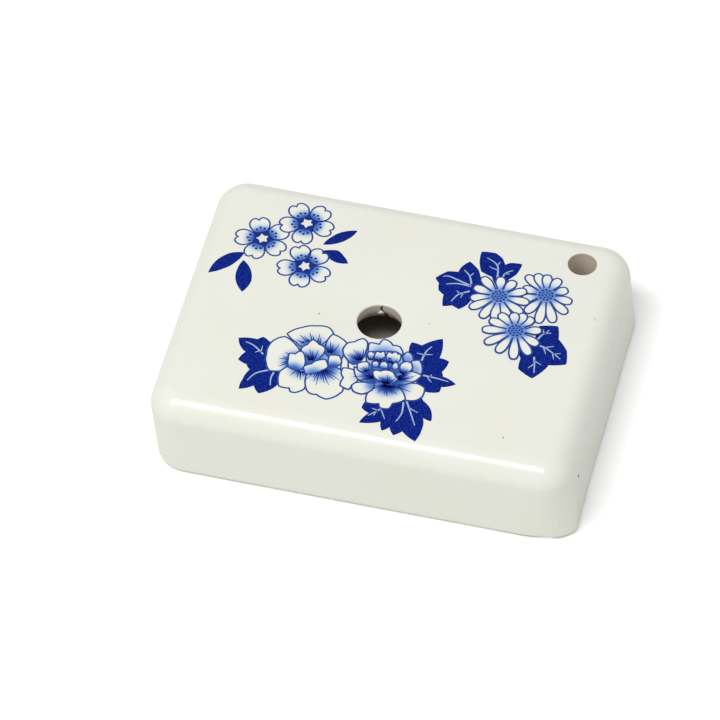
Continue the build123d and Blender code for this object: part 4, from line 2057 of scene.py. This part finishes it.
@dataclass
class Studio:
    """Pale table, soft light and the camera."""

    form: BlockForm
    azimuth: float = 13.798
    elevation: float = 49.479
    roll: float = -0.0645
    place: Place = (175.376, -737.393, 893.798)
    lens: float = 311.97
    sensor: float = 36.0
    clip: tuple[float, float] = (0.05, 20.0)
    pixel_shift: float = 0.093
    world: float = 0.58
    white: Colour = (1.0, 1.0, 1.0)
    table_reach: float = 1500.0
    table_height: float = -0.02
    table_inset: float = 0.8
    table_step: float = 2.0
    table_corner_steps: int = 16
    table_tone: Colour = (0.82, 0.82, 0.81)
    table_seen: Colour = (1.06, 1.06, 1.06)
    table_glow: float = 0.01
    lamps: tuple[Lamp, ...] = (
        Lamp("overhead", (-0.124, -0.343, 0.927), (0.58, 0.21), 4.4),
        Lamp("window", (-0.560, -0.620, 1.050), (0.70, 0.70), 2.8),
    )

    def build(self) -> None:
        """Makes the table, the lights and the camera."""
        self._camera()
        self._world()
        self._lamps()
        self._table()

    def _camera(self) -> None:
        """Camera at the photograph's viewing angle."""
        azimuth, elevation, roll = (math.radians(a) for a in (self.azimuth, self.elevation, self.roll))
        back = Vector((
            math.sin(azimuth) * math.cos(elevation), -math.cos(azimuth) * math.cos(elevation), math.sin(elevation)
        ))
        right = Vector((math.cos(azimuth), math.sin(azimuth), 0.0))
        up = back.cross(right)
        right, up = (
            math.cos(roll) * right + math.sin(roll) * up, math.cos(roll) * up - math.sin(roll) * right
        )
        place = Vector(self.place) + self.form.middle() + self.pixel_shift * (up - right)
        data = bpy.data.cameras.new("camera")
        data.lens = self.lens
        data.sensor_width = self.sensor
        data.sensor_fit = "HORIZONTAL"
        data.clip_start, data.clip_end = self.clip
        camera = bpy.data.objects.new("camera", data)
        camera.matrix_world = Matrix.Translation(place * MM) @ Matrix((right, up, back)).transposed().to_4x4()
        bpy.context.scene.collection.objects.link(camera)
        bpy.context.scene.camera = camera

    def _world(self) -> None:
        """Even white surroundings, full white where they are seen."""
        world = bpy.data.worlds.new("surroundings")
        world.use_nodes = True
        bpy.context.scene.world = world
        shader = Shader(world.node_tree)
        strength = self.world + (1.0 - self.world) * self._seen(shader)
        glow = shader.add("ShaderNodeBackground", {}, {"Color": rgba(*self.white), "Strength": strength})
        shader.add("ShaderNodeOutputWorld", {}, {"Surface": glow.outputs[0]})

    @staticmethod
    def _seen(shader: Shader) -> Value:
        """1 where the camera looks straight at a surface and 0 for every other ray."""
        return Value(shader, shader.add("ShaderNodeLightPath", {}, {}).outputs["Is Camera Ray"])

    def _lamps(self) -> None:
        """Wide soft lamps that face the block."""
        for lamp in self.lamps:
            data = bpy.data.lights.new(lamp.name, "AREA")
            data.shape = "RECTANGLE"
            data.size, data.size_y = lamp.size
            data.energy = lamp.power
            light = bpy.data.objects.new(lamp.name, data)
            light.location = Vector(lamp.place)
            light.rotation_euler = light.location.to_track_quat("Z", "Y").to_euler()
            bpy.context.scene.collection.objects.link(light)

    def _table(self) -> None:
        """White table, lifted in tone where it is seen, clear from below and open under the foot of the block."""
        form, maker, reach = self.form, MeshMaker(self.form.middle()), self.table_reach
        edge = [(-reach, -reach), (reach, -reach), (reach, reach), (-reach, reach)]
        outline = form.outline(self.table_step, self.table_corner_steps, self.table_inset)
        foot = [(x + form.lean_shift(0.0), y) for (x, y), _ in outline]
        places, faces = triangles([edge, foot], [])
        maker.add((x, y, self.table_height) for x, y in places)
        maker.faces += faces
        material = bpy.data.materials.new("white_table")
        material.use_nodes = True
        shader = Shader(material.node_tree)
        seen = self._seen(shader)
        grey = shader.mix(seen, rgba(*self.table_tone), rgba(*self.table_seen))
        matt = shader.add("ShaderNodeBsdfDiffuse", {}, {"Color": grey})
        glow = {"Color": rgba(*self.white), "Strength": self.table_glow * seen}
        lift = shader.add("ShaderNodeEmission", {}, glow)
        both = shader.add("ShaderNodeAddShader", {}, {0: matt.outputs[0], 1: lift.outputs[0]})
        below = shader.add("ShaderNodeNewGeometry", {}, {}).outputs["Backfacing"]
        clear = shader.add("ShaderNodeBsdfTransparent", {}, {}).outputs[0]
        surface = shader.add("ShaderNodeMixShader", {}, {0: below, 1: both.outputs[0], 2: clear}).outputs[0]
        shader.add("ShaderNodeOutputMaterial", {}, {"Surface": surface})
        table = link("table", maker.mesh("table", smooth=False), material)


def main() -> None:
    """Builds every piece in order."""
    logging.basicConfig(level=logging.INFO, format="%(message)s")
    bpy.context.scene.view_settings.view_transform = "Standard"
    form = BlockForm()
    BareBody().build()
    PorcelainShell(form).build()
    GlazeSkin(form).build()
    Flaws(form).build()
    CherrySpray(form).build()
    ChrysanthemumSpray(form).build()
    PeonySpray(form).build()
    Studio(form).build()
    LOG.info("made the studio")


if __name__ == "__main__":
    main()
